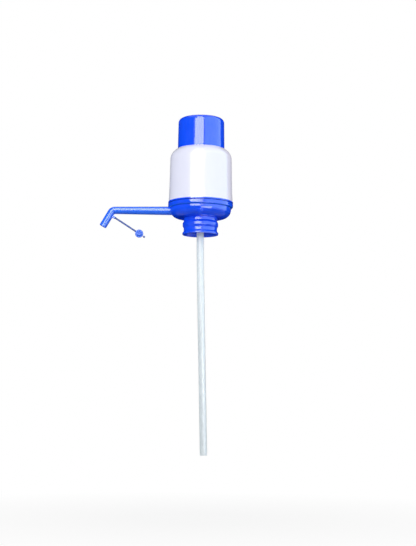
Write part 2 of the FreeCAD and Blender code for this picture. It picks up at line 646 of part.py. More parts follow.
def bellows():
    """Moulded bellows: foot under the clamp ring, folds, lid round the top plate."""
    _, lid_low, under_disc, _ = plate_levels()
    lid_top = under_disc - RUBBER_GAP
    lid_low += RUBBER_GAP
    cuff_top = DECK_Z + BELLOWS_CUFF_H
    folds_top = lid_top - BELLOWS_CUFF_H
    pitch = (folds_top - cuff_top) / BELLOWS_FOLDS
    slope = math.atan2(BELLOWS_CREST_R - BELLOWS_ROOT_R, pitch / 2)
    wall = BELLOWS_WALL / math.cos(slope)
    cuff_in = BELLOWS_CUFF_R - BELLOWS_WALL
    top_in = BELLOWS_TOP_R - BELLOWS_WALL
    slope_r = BELLOWS_ROOT_R + BELLOWS_SHOULDER
    slope_top = folds_top + BELLOWS_SHOULDER

    folds = []
    for i in range(BELLOWS_FOLDS):
        root = cuff_top + i * pitch
        folds.append((BELLOWS_ROOT_R, root + pitch * 0.25))
        folds.append((BELLOWS_CREST_R, root + pitch * 0.75))
    outside = [(r, z, BELLOWS_ROUND) for r, z in folds]
    inside = [(r - wall, z, BELLOWS_ROUND) for r, z in reversed(folds)]
    return revolved([
        (cuff_in, DECK_Z), (BELLOWS_FOOT_R, DECK_Z), (BELLOWS_FOOT_R, DECK_Z + BELLOWS_FOOT_T, FINE_EDGE),
        (BELLOWS_CUFF_R, DECK_Z + BELLOWS_FOOT_T, EDGE), (BELLOWS_CUFF_R, cuff_top, EDGE),
        *outside,
        (slope_r, folds_top, SOFT_EDGE), (BELLOWS_TOP_R, slope_top, SOFT_EDGE),
        (BELLOWS_TOP_R, lid_top, SOFT_EDGE),
        (PLATE_NECK_R + RUBBER_GAP, lid_top), (PLATE_NECK_R + RUBBER_GAP, lid_low),
        (top_in, lid_low), (top_in, slope_top + SHOULDER_RISE, SOFT_EDGE),
        (slope_r - wall, folds_top + SHOULDER_RISE, SOFT_EDGE),
        *inside,
        (cuff_in, cuff_top, EDGE),
    ])


def clamp_ring():
    """Ring that presses the bellows' foot onto the deck, with a hole for each screw."""
    under = DECK_Z + BELLOWS_FOOT_T
    ring = revolved([
        (RING_FOOT_R, DECK_Z), (RING_OUT_R, DECK_Z), (RING_OUT_R, under + RING_T, SOFT_EDGE),
        (RING_IN_R, under + RING_T, EDGE), (RING_IN_R, under), (RING_FOOT_R, under),
    ])
    through = (DECK_Z - OVERCUT, under + RING_T + OVERCUT)
    holes = upright_holes(on_circle(SCREW_CIRCLE_R, SCREWS, 45), SCREW_HOLE_R, *through)
    return ring.cut(holes.Solids).removeSplitter()


def clamp_screws():
    """Pan head screws that hold the clamp ring and the deck down on the base's pillars."""
    head_z = DECK_Z + BELLOWS_FOOT_T + RING_T
    screws = []
    for centre in on_circle(SCREW_CIRCLE_R, SCREWS, 45):
        screw = revolved([
            (0, head_z - SCREW_LENGTH), (SCREW_R, head_z - SCREW_LENGTH + SCREW_POINT_H),
            (SCREW_R, head_z), (SCREW_HEAD_R, head_z),
            (SCREW_HEAD_R, head_z + SCREW_HEAD_H, SCREW_HEAD_ROUND),
            (0, head_z + SCREW_HEAD_H),
        ])
        for width, depth in ((RECESS_SPAN, RECESS_W), (RECESS_W, RECESS_SPAN)):
            corner = V(-width / 2, -depth / 2, head_z + SCREW_HEAD_H - RECESS_DEPTH)
            screw = screw.cut(Part.makeBox(width, depth, SCREW_HEAD_H, corner))
        screw.translate(centre)
        screws.append(screw)
    return Part.makeCompound(screws)


def water_elbow():
    """Riser from the hose nipple to the socket that takes the spout."""
    nipple_r = TUBE_BORE_R - RUBBER_GAP
    nipple_end = ELBOW_SHOULDER_Z - NIPPLE_LENGTH
    barb_top = nipple_end + NIPPLE_LEAD + BARBS * BARB_PITCH
    barbs = []
    for i in range(BARBS):
        top = barb_top - i * BARB_PITCH
        barbs += [(nipple_r, top), (nipple_r - BARB_DEPTH, top - BARB_PITCH)]
    riser = revolved([
        (ELBOW_BORE_R, nipple_end), (ELBOW_BORE_R, SPOUT_Z), (0, SPOUT_Z), (0, ELBOW_TOP_Z),
        (ELBOW_RISER_R, ELBOW_TOP_Z, EDGE), (ELBOW_RISER_R, ELBOW_FLANGE_Z + ELBOW_FLANGE_T),
        (ELBOW_FLANGE_R, ELBOW_FLANGE_Z + ELBOW_FLANGE_T, EDGE), (ELBOW_FLANGE_R, ELBOW_FLANGE_Z),
        (ELBOW_STEM_R, ELBOW_FLANGE_Z), (ELBOW_STEM_R, ELBOW_SHOULDER_Z),
        (nipple_r - BARB_DEPTH, ELBOW_SHOULDER_Z), (nipple_r - BARB_DEPTH, barb_top), *barbs,
        (nipple_r - BARB_DEPTH - FINE_EDGE, nipple_end),
    ])
    arm = cylinder(SOCKET_R, V(0, 0, SPOUT_Z), -X_AXIS, SOCKET_MOUTH_X)
    passage = cylinder(SPOUT_BORE_R, V(0, 0, SPOUT_Z), -X_AXIS, SOCKET_MOUTH_X)
    socket_length = SOCKET_MOUTH_X - SOCKET_FLOOR_X
    socket = cylinder(SOCKET_BORE_R, V(-SOCKET_FLOOR_X, 0, SPOUT_Z), -X_AXIS, socket_length)
    rise = cylinder(ELBOW_BORE_R, V(0, 0, nipple_end - OVERCUT), Z_AXIS, SPOUT_Z - nipple_end + OVERCUT)
    return riser.fuse(arm).cut([passage, socket, rise]).removeSplitter()


def elbow_gasket():
    """Ring under the elbow's flange."""
    low_r = ELBOW_STEM_R + SEAT_GAP
    return revolved([
        (low_r, PLUG_FLOOR_Z), (ELBOW_FLANGE_R, PLUG_FLOOR_Z),
        (ELBOW_FLANGE_R, ELBOW_FLANGE_Z), (low_r, ELBOW_FLANGE_Z),
    ])


def spout_direction():
    """Direction of the spout's leg, down and away from the pump."""
    bend = math.radians(SPOUT_BEND)
    return V(-math.cos(bend), 0, -math.sin(bend))


def spout_corner():
    """Point where the axes of the spout's long run and its leg would meet."""
    return V(-SPOUT_REACH, 0, SPOUT_Z)


def bent_run(radius, leg_extra):
    """Bend and leg of the spout as a solid of one radius."""
    setback = SPOUT_BEND_R * math.tan(math.radians(SPOUT_BEND) / 2)
    start = spout_corner() + X_AXIS * setback
    section = Part.Face(Part.Wire(Part.makeCircle(radius, start, X_AXIS)))
    pivot = start - Z_AXIS * SPOUT_BEND_R
    bend = section.revolve(pivot, -Y_AXIS, SPOUT_BEND)
    leg_start = spout_corner() + spout_direction() * setback
    leg = cylinder(radius, leg_start, spout_direction(), SPOUT_LEG - setback + leg_extra)
    return bend, leg, start


def spout_run(points):
    """Solid of revolution about the spout's axis, from (distance from the pump's axis, radius) corners."""
    outline = [(radius, distance) for distance, radius in points]
    return along(revolved(outline), V(0, 0, SPOUT_Z), -X_AXIS)


def hinge_point():
    """Middle of the pin that carries the closure's strap."""
    inward = V(math.sin(math.radians(SPOUT_BEND)), 0, -math.cos(math.radians(SPOUT_BEND)))
    return spout_corner() + spout_direction() * LUG_DOWN + inward * (SPOUT_R + LUG_OUT)


def spout():
    """Spout: sealed end, snap ridge, tapered run, bend, leg and the lug for the closure."""
    bend, leg, bend_start = bent_run(SPOUT_R, 0)
    grooves = []
    for i in range(O_RINGS):
        x = O_RING_FIRST_X + i * O_RING_PITCH
        low = x - O_RING_W / 2 - RUBBER_GAP
        high = x + O_RING_W / 2 + RUBBER_GAP
        grooves += [(low, SPIGOT_R), (low, SPIGOT_R - O_RING_DEPTH)]
        grooves += [(high, SPIGOT_R - O_RING_DEPTH), (high, SPIGOT_R)]
    ridge_x = WALL_BOSS_IN_X - RIDGE_PLAY
    run = spout_run([
        (SPIGOT_END_X, 0), (SPIGOT_END_X, SPIGOT_R - EDGE), (SPIGOT_END_X + SOFT_EDGE, SPIGOT_R), *grooves,
        (SPIGOT_ROOT_X, SPIGOT_R), (SPIGOT_ROOT_X, SPOUT_ROOT_R),
        (ridge_x - RIDGE_LENGTH, SPOUT_ROOT_R), (ridge_x, SPOUT_ROOT_R + RIDGE), (ridge_x, SPOUT_ROOT_R),
        (SPOUT_TAPER_FROM, SPOUT_ROOT_R), (-bend_start.x, SPOUT_R), (-bend_start.x, 0),
    ])
    tip = spout_corner() + spout_direction() * SPOUT_LEG
    rim = [e for e in leg.Edges if e.Closed and (e.CenterOfMass - tip).Length < RUBBER_GAP]
    leg = leg.makeFillet(SPOUT_TIP_EDGE, rim)

    pin = hinge_point()
    ear_span = LUG_GAP + 2 * LUG_EAR_T
    ears = []
    foot = pin - V(math.sin(math.radians(SPOUT_BEND)), 0, -math.cos(math.radians(SPOUT_BEND))) * LUG_OUT
    for side in (-1, 1):
        y_low = LUG_GAP / 2 if side > 0 else -ear_span / 2
        eye = cylinder(LUG_EAR_R, pin + Y_AXIS * y_low, Y_AXIS, LUG_EAR_T)
        reach = foot - pin
        length = reach.Length + LUG_ROOT
        web = Part.makeBox(2 * LUG_EAR_R, LUG_EAR_T, length, V(-LUG_EAR_R, y_low, 0))
        web.Placement = FreeCAD.Placement(pin, FreeCAD.Rotation(Z_AXIS, reach))
        ears += [eye, web]
    hole = cylinder(STRAP_PIN_R + RUN_GAP, pin - Y_AXIS * ear_span, Y_AXIS, 2 * ear_span)

    body = run.fuse([bend, leg] + ears)
    bore_bend, bore_leg, _ = bent_run(SPOUT_BORE_R, OVERCUT)
    bore_run = cylinder(SPOUT_BORE_R, V(0, 0, SPOUT_Z), -X_AXIS, -bend_start.x)
    return body.cut([bore_run, bore_bend, bore_leg, hole]).removeSplitter()


def spout_o_rings():
    """Rubber rings in the grooves of the spout's sealed end."""
    groove_r = SPIGOT_R - O_RING_DEPTH
    rings = []
    for i in range(O_RINGS):
        x = O_RING_FIRST_X + i * O_RING_PITCH
        inner = groove_r + RUBBER_GAP
        outer = SOCKET_BORE_R - RUBBER_GAP
        low = x - O_RING_W / 2
        high = x + O_RING_W / 2
        ring = revolved([
            (inner, low, FINE_EDGE), (outer, low, EDGE), (outer, high, EDGE), (inner, high, FINE_EDGE),
        ])
        rings.append(along(ring, V(0, 0, SPOUT_Z), -X_AXIS))
    return Part.makeCompound(rings)


def strap_outline():
    """Flat strap in the XZ plane from the barrel at the origin to the disc, narrow in the middle."""
    half = STRAP_W / 2
    wide = half + STRAP_FLARE
    disc = STRAP_REACH - DISC_R / 2
    narrow_from = STRAP_ROOT + FLARE_IN
    narrow_to = disc - FLARE_OUT
    points = [
        (STRAP_ROOT, -wide), (narrow_from, -half, FLARE_OUT), (narrow_to, -half, FLARE_OUT), (disc, -wide),
        (disc, wide), (narrow_to, half, FLARE_OUT), (narrow_from, half, FLARE_OUT), (STRAP_ROOT, wide),
    ]
    return rounded_face(points)


def spout_cap():
    """Soft closure in one moulding: barrel with pins, strap, disc with stopper, link and pull tab."""
    strap = strap_outline().extrude(Y_AXIS * STRAP_T)
    strap.translate(-Y_AXIS * STRAP_T / 2)
    barrel_w = LUG_GAP - SOFT_GAP
    barrel = cylinder(STRAP_BARREL_R, -Y_AXIS * barrel_w / 2, Y_AXIS, barrel_w)
    pin_span = LUG_GAP + 2 * LUG_EAR_T - 2 * SEAT_GAP
    pins = cylinder(STRAP_PIN_R, -Y_AXIS * pin_span / 2, Y_AXIS, pin_span)

    stopper_r = SPOUT_BORE_R - STOPPER_FIT
    stopper_end = STRAP_T / 2 + STOPPER_H
    disc = revolved([
        (0, -STRAP_T / 2), (DISC_R, -STRAP_T / 2, EDGE), (DISC_R, STRAP_T / 2, EDGE),
        (stopper_r, STRAP_T / 2), (stopper_r - STOPPER_TAPER, stopper_end, EDGE),
        (stopper_r - STOPPER_WALL, stopper_end, FINE_EDGE), (stopper_r - STOPPER_WALL, STRAP_T / 2),
        (0, STRAP_T / 2),
    ])
    disc = along(disc, V(STRAP_REACH, 0, 0), -Y_AXIS)

    tab_x = STRAP_REACH + TAB_REACH
    half_t = TAB_T / 2
    tab = revolved([(0, -half_t), (TAB_R, -half_t, EDGE), (TAB_R, half_t, EDGE), (0, half_t)])
    tab = along(tab, V(tab_x, 0, 0), -Y_AXIS)
    link_x = STRAP_REACH + DISC_R - OVERCUT
    link_corner = V(link_x, -TAB_LINK_T / 2, -TAB_LINK_W / 2)
    link = Part.makeBox(tab_x - link_x, TAB_LINK_T, TAB_LINK_W, link_corner)

    closure = barrel.fuse([pins, strap, disc, link, tab]).removeSplitter()
    closure.rotate(ORIGIN, Y_AXIS, STRAP_DROP)
    closure.translate(hinge_point())
    return closure


def tube_run(radius, extra):
    """Dip tube's path as a solid of one radius: a short straight top, a slight set, a long straight run."""
    top_z = ELBOW_SHOULDER_Z - SEAT_GAP
    bend_z = top_z - TUBE_BEND_TOP
    set_angle = math.radians(TUBE_SET)
    bend_r = TUBE_BEND_LENGTH / set_angle
    head = cylinder(radius, V(0, 0, bend_z), Z_AXIS, TUBE_BEND_TOP + extra)
    section = Part.Face(Part.Wire(Part.makeCircle(radius, V(0, 0, bend_z), Z_AXIS)))
    bend = section.revolve(V(bend_r, 0, bend_z), -Y_AXIS, TUBE_SET)
    start = V(bend_r * (1 - math.cos(set_angle)), 0, bend_z - bend_r * math.sin(set_angle))
    direction = V(math.sin(set_angle), 0, -math.cos(set_angle))
    tail = cylinder(radius, start, direction, TUBE_STRAIGHT + extra)
    return head.fuse([bend, tail])


def dip_tube():
    """Translucent hose from the nipple nearly to the bottle's bottom, with the slight set of its coil."""
    return tube_run(TUBE_R, 0).cut(tube_run(TUBE_BORE_R, OVERCUT)).removeSplitter()


def release_button():
    """Button head and stem. The bead at the stem's end keeps the seal on."""
    web_low = release_well_floor() - RELEASE_WEB
    seal_low = web_low - RUBBER_GAP - RELEASE_SEAL_T
    head_low = RELEASE_HEAD_OUT - RELEASE_HEAD_T
    bead_low = seal_low - RUBBER_GAP - RELEASE_BEAD_H
    head_r = RELEASE_WELL_R - RUN_GAP
    return release_part([
        (0, RELEASE_HEAD_OUT), (head_r, RELEASE_HEAD_OUT - RELEASE_HEAD_DOME, RELEASE_HEAD_ROUND),
        (head_r, head_low),
        (RELEASE_STEM_R, head_low), (RELEASE_STEM_R, seal_low - RUBBER_GAP),
        (RELEASE_BEAD_R, seal_low - RUBBER_GAP, FINE_EDGE), (RELEASE_STEM_R, bead_low), (0, bead_low),
    ])


def release_seal():
    """Rubber disc that closes the vent from inside the chest."""
    high = release_well_floor() - RELEASE_WEB - RUBBER_GAP
    low = high - RELEASE_SEAL_T
    bore = RELEASE_STEM_R + RUBBER_GAP
    return release_part([
        (bore, low), (RELEASE_SEAL_R, low, FINE_EDGE), (RELEASE_SEAL_R, high), (bore, high),
    ])


def release_spring():
    """Small coil spring between the well's floor and the button's head."""
    low = release_well_floor() + SPRING_WIRE_R + RUBBER_GAP
    high = RELEASE_HEAD_OUT - RELEASE_HEAD_T - SPRING_WIRE_R - RUBBER_GAP
    pitch = (high - low) / SPRING_TURNS
    helix = Part.makeHelix(pitch, high - low, SPRING_COIL_R)
    start = V(SPRING_COIL_R, 0, 0)
    turns = [math.pi * i / SPRING_ARCS for i in range(2 * SPRING_ARCS)]
    rim = [start + V(math.cos(turn), 0, math.sin(turn)) * SPRING_WIRE_R for turn in turns]
    arcs = [Part.Arc(rim[i - 2], rim[i - 1], rim[i]).toShape() for i in range(0, len(rim), 2)]
    section = Part.Wire(Part.sortEdges(arcs)[0])
    coil = Part.Wire(helix).makePipeShell([section], True, True)
    origin, direction = release_frame()
    return along(coil, origin + direction * low, direction)


def shoulder_slope():
    """Angle of the cover's shoulder under the horizontal."""
    return math.atan2(SHOULDER_DROP, COVER_TOP_R - MOUTH_R)


def cover_profile(inset):
    """Corners of the cover's outside, or of its inside when set in by the wall."""
    waist_z = COVER_Z + COVER_WAIST_UP
    slope = shoulder_slope()
    shoulder_z = MOUTH_Z - SHOULDER_DROP - inset * (1 / math.cos(slope) - math.tan(slope))
    return [
        (COVER_FOOT_R - inset, COVER_Z),
        (COVER_WAIST_R - inset, waist_z, COVER_BLEND),
        (COVER_TOP_R - inset, shoulder_z, COVER_SHOULDER - inset),
    ]


def outer_cover():
    """White cover: flared foot, sloping shoulder, mouth with the sleeve that guides and stops the cap."""
    sleeve_low = CAP_FOOT_Z + CAP_FLANGE_T + CAP_STOP_GAP
    sleeve_out = MOUTH_R + SLEEVE_WALL
    slope = shoulder_slope()
    sleeve_top = MOUTH_Z - COVER_WALL / math.cos(slope) - SLEEVE_WALL * math.tan(slope)
    outside = cover_profile(0)
    inside = list(reversed(cover_profile(COVER_WALL)))
    shell = revolved([
        *outside, (MOUTH_R, MOUTH_Z, MOUTH_EDGE),
        (MOUTH_R, sleeve_low, FINE_EDGE), (sleeve_out, sleeve_low, FINE_EDGE),
        (sleeve_out, sleeve_top, EDGE),
        *inside,
    ])
    bead_z = DECK_Z + SNAP_BEAD_UP
    wall_r = cover_in_r(bead_z)
    room = SNAP_BEAD_H / 2 + SOFT_GAP
    groove = revolved([
        (wall_r - OVERCUT, bead_z - room), (wall_r, bead_z - room), (wall_r + SNAP_BEAD, bead_z),
        (wall_r, bead_z + room), (wall_r - OVERCUT, bead_z + room),
    ])
    return shell.cut(groove).removeSplitter()


def press_cap():
    """Blue press cap: tapered cup with a domed top, a stop flange, and ribs that bear on the plate."""
    flange_r = CAP_R + CAP_FLANGE
    flange_top = CAP_FOOT_Z + CAP_FLANGE_T
    under_top = CAP_TOP_Z - CAP_TOP_T
    inner_top_r = CAP_TOP_R - CAP_WALL
    cup = revolved([
        (0, CAP_TOP_Z + CAP_DOME), (CAP_TOP_R, CAP_TOP_Z, CAP_ROUND), (CAP_R, MOUTH_Z),
        (CAP_R, flange_top, EDGE), (flange_r, flange_top, EDGE), (flange_r, CAP_FOOT_Z, EDGE),
        (CAP_IN_R, CAP_FOOT_Z, EDGE), (CAP_IN_R, MOUTH_Z), (inner_top_r, under_top, CAP_ROUND - CAP_WALL),
        (0, under_top),
    ])
    rib_top = under_top + OVERCUT
    ring = revolved([
        (CAP_RING_R - CAP_RIB_T / 2, PLATE_Z), (CAP_RING_R + CAP_RIB_T / 2, PLATE_Z),
        (CAP_RING_R + CAP_RIB_T / 2, rib_top), (CAP_RING_R - CAP_RIB_T / 2, rib_top),
    ])
    ribs = []
    rib_length = PLATE_R - SOFT_EDGE - CAP_RING_R
    for i in range(CAP_RIBS):
        corner = V(CAP_RING_R, -CAP_RIB_T / 2, PLATE_Z)
        rib = Part.makeBox(rib_length, CAP_RIB_T, rib_top - PLATE_Z, corner)
        rib.rotate(ORIGIN, Z_AXIS, i * 360 / CAP_RIBS)
        ribs.append(rib)
    return cup.fuse([ring] + ribs).removeSplitter()


PIECES = {
    "press_cap": press_cap,
    "outer_cover": outer_cover,
    "bellows_top_plate": bellows_top_plate,
    "intake_valve": intake_valve,
    "bellows": bellows,
    "bellows_clamp_ring": clamp_ring,
    "clamp_screws": clamp_screws,
    "deck_plate": deck_plate,
    "deck_gasket": deck_gasket,
    "discharge_valve": discharge_valve,
    "base_body": base_body,
    "water_elbow": water_elbow,
    "elbow_gasket": elbow_gasket,
    "neck_gasket": neck_gasket,
    "bottle_collar": bottle_collar,
    "dip_tube": dip_tube,
    "spout": spout,
    "spout_o_rings": spout_o_rings,
    "spout_cap": spout_cap,
    "release_button": release_button,
    "release_spring": release_spring,
    "release_seal": release_seal,
}


def main():
    """Build each piece and write its STEP file."""
    os.makedirs("parts", exist_ok=True)
    for name, build in PIECES.items():
        shape = build()
        shape.exportStep(f"parts/{name}.step")
        print(f"{name}: {len(shape.Solids)} solids, {shape.Volume:.0f} mm3, valid {shape.isValid()}")


main()
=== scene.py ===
"""Looks of the hand press pump for a large water bottle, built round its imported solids.

Metres, +Z up. The origin is the centre of the neck gasket's underside, where the rim of the bottle's
mouth lies. The spout leaves along -X and the air release button is at the front, along -Y.
"""

import logging
import math
from dataclasses import dataclass, field
from enum import Enum

import bmesh
import bpy
from mathutils import Matrix, Vector


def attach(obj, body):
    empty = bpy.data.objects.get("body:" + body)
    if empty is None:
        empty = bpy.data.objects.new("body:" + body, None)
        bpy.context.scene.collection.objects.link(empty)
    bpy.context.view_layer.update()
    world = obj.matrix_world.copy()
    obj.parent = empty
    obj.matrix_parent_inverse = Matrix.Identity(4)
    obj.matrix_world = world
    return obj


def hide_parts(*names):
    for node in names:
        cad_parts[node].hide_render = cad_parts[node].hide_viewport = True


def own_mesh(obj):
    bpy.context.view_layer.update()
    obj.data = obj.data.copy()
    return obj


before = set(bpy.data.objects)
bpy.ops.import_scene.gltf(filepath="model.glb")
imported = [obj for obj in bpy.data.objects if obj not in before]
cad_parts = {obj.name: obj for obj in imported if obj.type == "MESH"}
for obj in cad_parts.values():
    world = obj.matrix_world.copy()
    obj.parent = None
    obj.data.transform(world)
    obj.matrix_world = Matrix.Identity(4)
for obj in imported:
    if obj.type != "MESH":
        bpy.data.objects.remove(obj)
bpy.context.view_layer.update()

LOG = logging.getLogger("pump")
MM = 0.001
FULL_TURN = 2 * math.pi
SIDE_USE = 0.96            # share of a side that the roundings at its ends may take up
SMALLEST = 1e-7            # lengths under this, in metres, count as none

Colour = tuple[float, float, float]
Corner = tuple[float, ...]
Outline = list[tuple[float, float]]
Mesh = bmesh.types.BMesh
Ring = list[bmesh.types.BMVert]
Socket = bpy.types.NodeSocket

WHITE = (1.0, 1.0, 1.0)
PALE_BLUE = (0.46, 0.82, 1.0)


class Body(str, Enum):
    """Rigid bodies of the pump that a piece can ride on."""

    BASE = "base"
    PRESS = "press"
    SPOUT = "spout"
    CLOSURE = "closure"
    RELEASE = "release"


class Grain(Enum):
    """Direction that scratches and flow lines run along, as a stretch of the pattern's three axes."""

    UPRIGHT = (1.0, 1.0, 0.03)
    SIDEWAYS = (0.03, 1.0, 1.0)
    ROUND = (0.25, 0.25, 1.0)
    EVEN = (1.0, 1.0, 1.0)


def around(steps: int) -> list[float]:
    """Angles that divide a full turn evenly."""
    return [FULL_TURN * k / steps for k in range(steps)]


def lighter(colour: Colour, share: float) -> Colour:
    """Colour moved towards white by a share, or towards black by a negative one."""
    goal = 1.0 if share > 0 else 0.0
    return tuple(channel + (goal - channel) * abs(share) for channel in colour)


class Bench:
    """Lays out the nodes of a material, a lamp or the background."""

    def __init__(self, owner: bpy.types.ID) -> None:
        """Open the nodes of their owner."""
        owner.use_nodes = True
        self.tree = owner.node_tree

    def fill(self, target: Socket, value: object) -> None:
        """Link an input to another node's output, or give it a number or colour.

        Args:
            target: Input to fill.
            value: Output, number or colour.
        """
        if isinstance(value, Socket):
            self.tree.links.new(value, target)
        else:
            target.default_value = value

    def feed(self, node: bpy.types.Node, **values: object) -> bpy.types.Node:
        """Fill inputs of a node by name.

        Args:
            node: Node to fill.
            **values: Input name, with underscores for blanks, and its number, colour or socket.

        Returns:
            The same node.
        """
        for key, value in values.items():
            self.fill(node.inputs[key.replace("_", " ")], value)
        return node

    def add(self, kind: str, *first: object, **settings: object) -> bpy.types.Node:
        """Add a node, set its plain properties and fill its first inputs.

        Args:
            kind: Type name of the node.
            *first: Values of its first inputs, in their order.
            **settings: Properties of the node and their values.

        Returns:
            The new node.
        """
        node = self.tree.nodes.new(kind)
        for key, value in settings.items():
            setattr(node, key, value)
        for target, value in zip(node.inputs, first):
            self.fill(target, value)
        return node

    def levels(self, value: Socket, low: float, high: float, to_low: float = 0.0,
               to_high: float = 1.0) -> Socket:
        """Spread the range from low to high over the one from to_low to to_high, held at its ends."""
        node = self.add("ShaderNodeMapRange", value, low, high, to_low, to_high, clamp=True)
        return node.outputs["Result"]

    def calc(self, first: Socket, second: Socket | float, operation: str = "ADD") -> Socket:
        """Result of a math node on two values."""
        return self.add("ShaderNodeMath", first, second, operation=operation).outputs["Value"]

    def times(self, first: Socket, second: Socket | float) -> Socket:
        """Product of two values."""
        return self.calc(first, second, "MULTIPLY")

    def seen_directly(self) -> Socket:
        """Find where the background itself is seen, also in glossy and clear surfaces.

        Returns:
            Socket that is 1 there and 0 elsewhere.
        """
        rays = self.add("ShaderNodeLightPath").outputs
        seen = self.calc(rays["Is Camera Ray"], rays["Is Glossy Ray"])
        return self.levels(self.calc(seen, rays["Is Transmission Ray"]), 0.0, 1.0)


class Paint(Bench):
    """Material built up in layers of tone, roughness and relief. Sizes of its patterns are in mm."""

    cloud_cut = (0.3, 0.7)
    line_size, line_rough, line_cut = 0.35, 0.7, (0.68, 0.74)
    patch_size, patch_cut = 14.0, (0.5, 0.62)
    edge_cut = (0.51, 0.58)

    def __init__(self, name: str, colour: Colour, change: float = 0.0) -> None:
        """Start a material with a principled shader.

        Args:
            name: Name of the material.
            colour: Its main colour.
            change: Share by which the ground tone is lighter, or darker where it is negative.
        """
        self.material = bpy.data.materials.new(name)
        super().__init__(self.material)
        self.shader = self.tree.nodes["Principled BSDF"]
        self.place = self.add("ShaderNodeTexCoord").outputs["Object"]
        self.colour = colour
        self.tone: Colour | Socket = lighter(colour, change)
        self.rough: Socket | None = None
        self.relief: Socket | None = None

    def noise(self, size: float, detail: float = 3.0, rough: float = 0.55,
              grain: Grain = Grain.EVEN) -> Socket:
        """Noise with features of a given size.

        Args:
            size: Size of the largest features.
            detail: Number of finer layers.
            rough: Strength of the finer layers.
            grain: Direction that the features run along.

        Returns:
            Socket with a value round 0.5.
        """
        run = self.feed(self.add("ShaderNodeMapping"), Vector=self.place, Scale=grain.value)
        node = self.feed(self.add("ShaderNodeTexNoise"), Vector=run.outputs["Vector"],
                         Scale=1 / (size * MM), Detail=detail, Roughness=rough)
        return node.outputs["Fac"]

    def clouds(self, size: float, to_low: float = 0.0, to_high: float = 1.0) -> Socket:
        """Soft patches of a given size, from to_low to to_high."""
        return self.levels(self.noise(size, detail=4.0), *self.cloud_cut, to_low, to_high)

    def hairlines(self, grain: Grain) -> Socket:
        """Sparse fine scratches along one direction, 1 on a scratch and 0 elsewhere."""
        lines = self.levels(self.noise(self.line_size, 2.0, self.line_rough, grain), *self.line_cut)
        return self.times(lines, self.levels(self.noise(self.patch_size, detail=2.0), *self.patch_cut))

    def edges(self) -> Socket:
        """Share that grows on outward edges, where handling rubs a moulding."""
        return self.levels(self.add("ShaderNodeNewGeometry").outputs["Pointiness"], *self.edge_cut)

    def along(self, axis: str) -> Socket:
        """Coordinate along one axis."""
        return self.add("ShaderNodeSeparateXYZ", self.place).outputs[axis]

    def rise(self, axis: str, low: float, high: float, *ends: float) -> Socket:
        """Share that goes from 0 to 1, or between other ends, from one level of an axis to another."""
        return self.levels(self.along(axis), low * MM, high * MM, *ends)

    def near(self, axis: str, level: float, full: float, none: float) -> Socket:
        """Band round one level of an axis.

        Args:
            axis: Letter of the axis.
            level: Level of the band's middle.
            full: Distance from there up to which the share is 1.
            none: Distance from which it is 0.

        Returns:
            Socket with the share.
        """
        off = self.calc(self.along(axis), -level * MM)
        return self.levels(self.calc(off, 0.0, "ABSOLUTE"), full * MM, none * MM, 1.0, 0.0)

    def reach(self, centre: Vector, axes: tuple[float, float, float] = Grain.EVEN.value) -> Socket:
        """Distance from a point, each axis counted by its number in axes."""
        place = self.add("ShaderNodeVectorMath", self.place, axes, operation="MULTIPLY").outputs[0]
        return self.add("ShaderNodeVectorMath", place, centre, operation="DISTANCE").outputs["Value"]

    def tint(self, share: Socket, colour: Colour) -> None:
        """Mix a colour into the tone.

        Args:
            share: Share of the colour.
            colour: Colour to mix in.
        """
        mix = self.add("ShaderNodeMix", share, data_type="RGBA")
        for target, value in zip(mix.inputs[6:8], (self.tone, colour)):
            self.fill(target, value if isinstance(value, Socket) else (*value, 1.0))
        self.tone = mix.outputs[2]

    def shade(self, share: Socket, change: float) -> None:
        """Mix in the main colour, made lighter or darker by a change."""
        self.tint(share, lighter(self.colour, change))

    def dull(self, share: Socket, amount: float) -> None:
        """Add an amount to the roughness by a share."""
        self.rough = self.calc(self.rough, self.times(share, amount))

    def emboss(self, height: Socket, depth: float) -> None:
        """Lay a relief over the ones before.

        Args:
            height: Height, 0 to 1.
            depth: Depth that a height of 1 stands for.
        """
        bump = self.feed(self.add("ShaderNodeBump"), Height=height, Distance=depth * MM, Strength=1.0)
        if self.relief is not None:
            self.fill(bump.inputs["Normal"], self.relief)
        self.relief = bump.outputs["Normal"]

    def finish(self, scatter: float = 0.0, depth: float = 2.0, **values: object) -> bpy.types.Material:
        """Lead the layers to the shader.

        Args:
            scatter: Share of the light that wanders under the surface.
            depth: How far it wanders.
            **values: Further inputs of the shader.

        Returns:
            The finished material.
        """
        if scatter:
            values.update(Subsurface_Weight=scatter, Subsurface_Scale=depth * MM,
                          Subsurface_Radius=WHITE)
        self.feed(self.shader, Base_Color=self.tone, Roughness=self.rough, Normal=self.relief, **values)
        return self.material


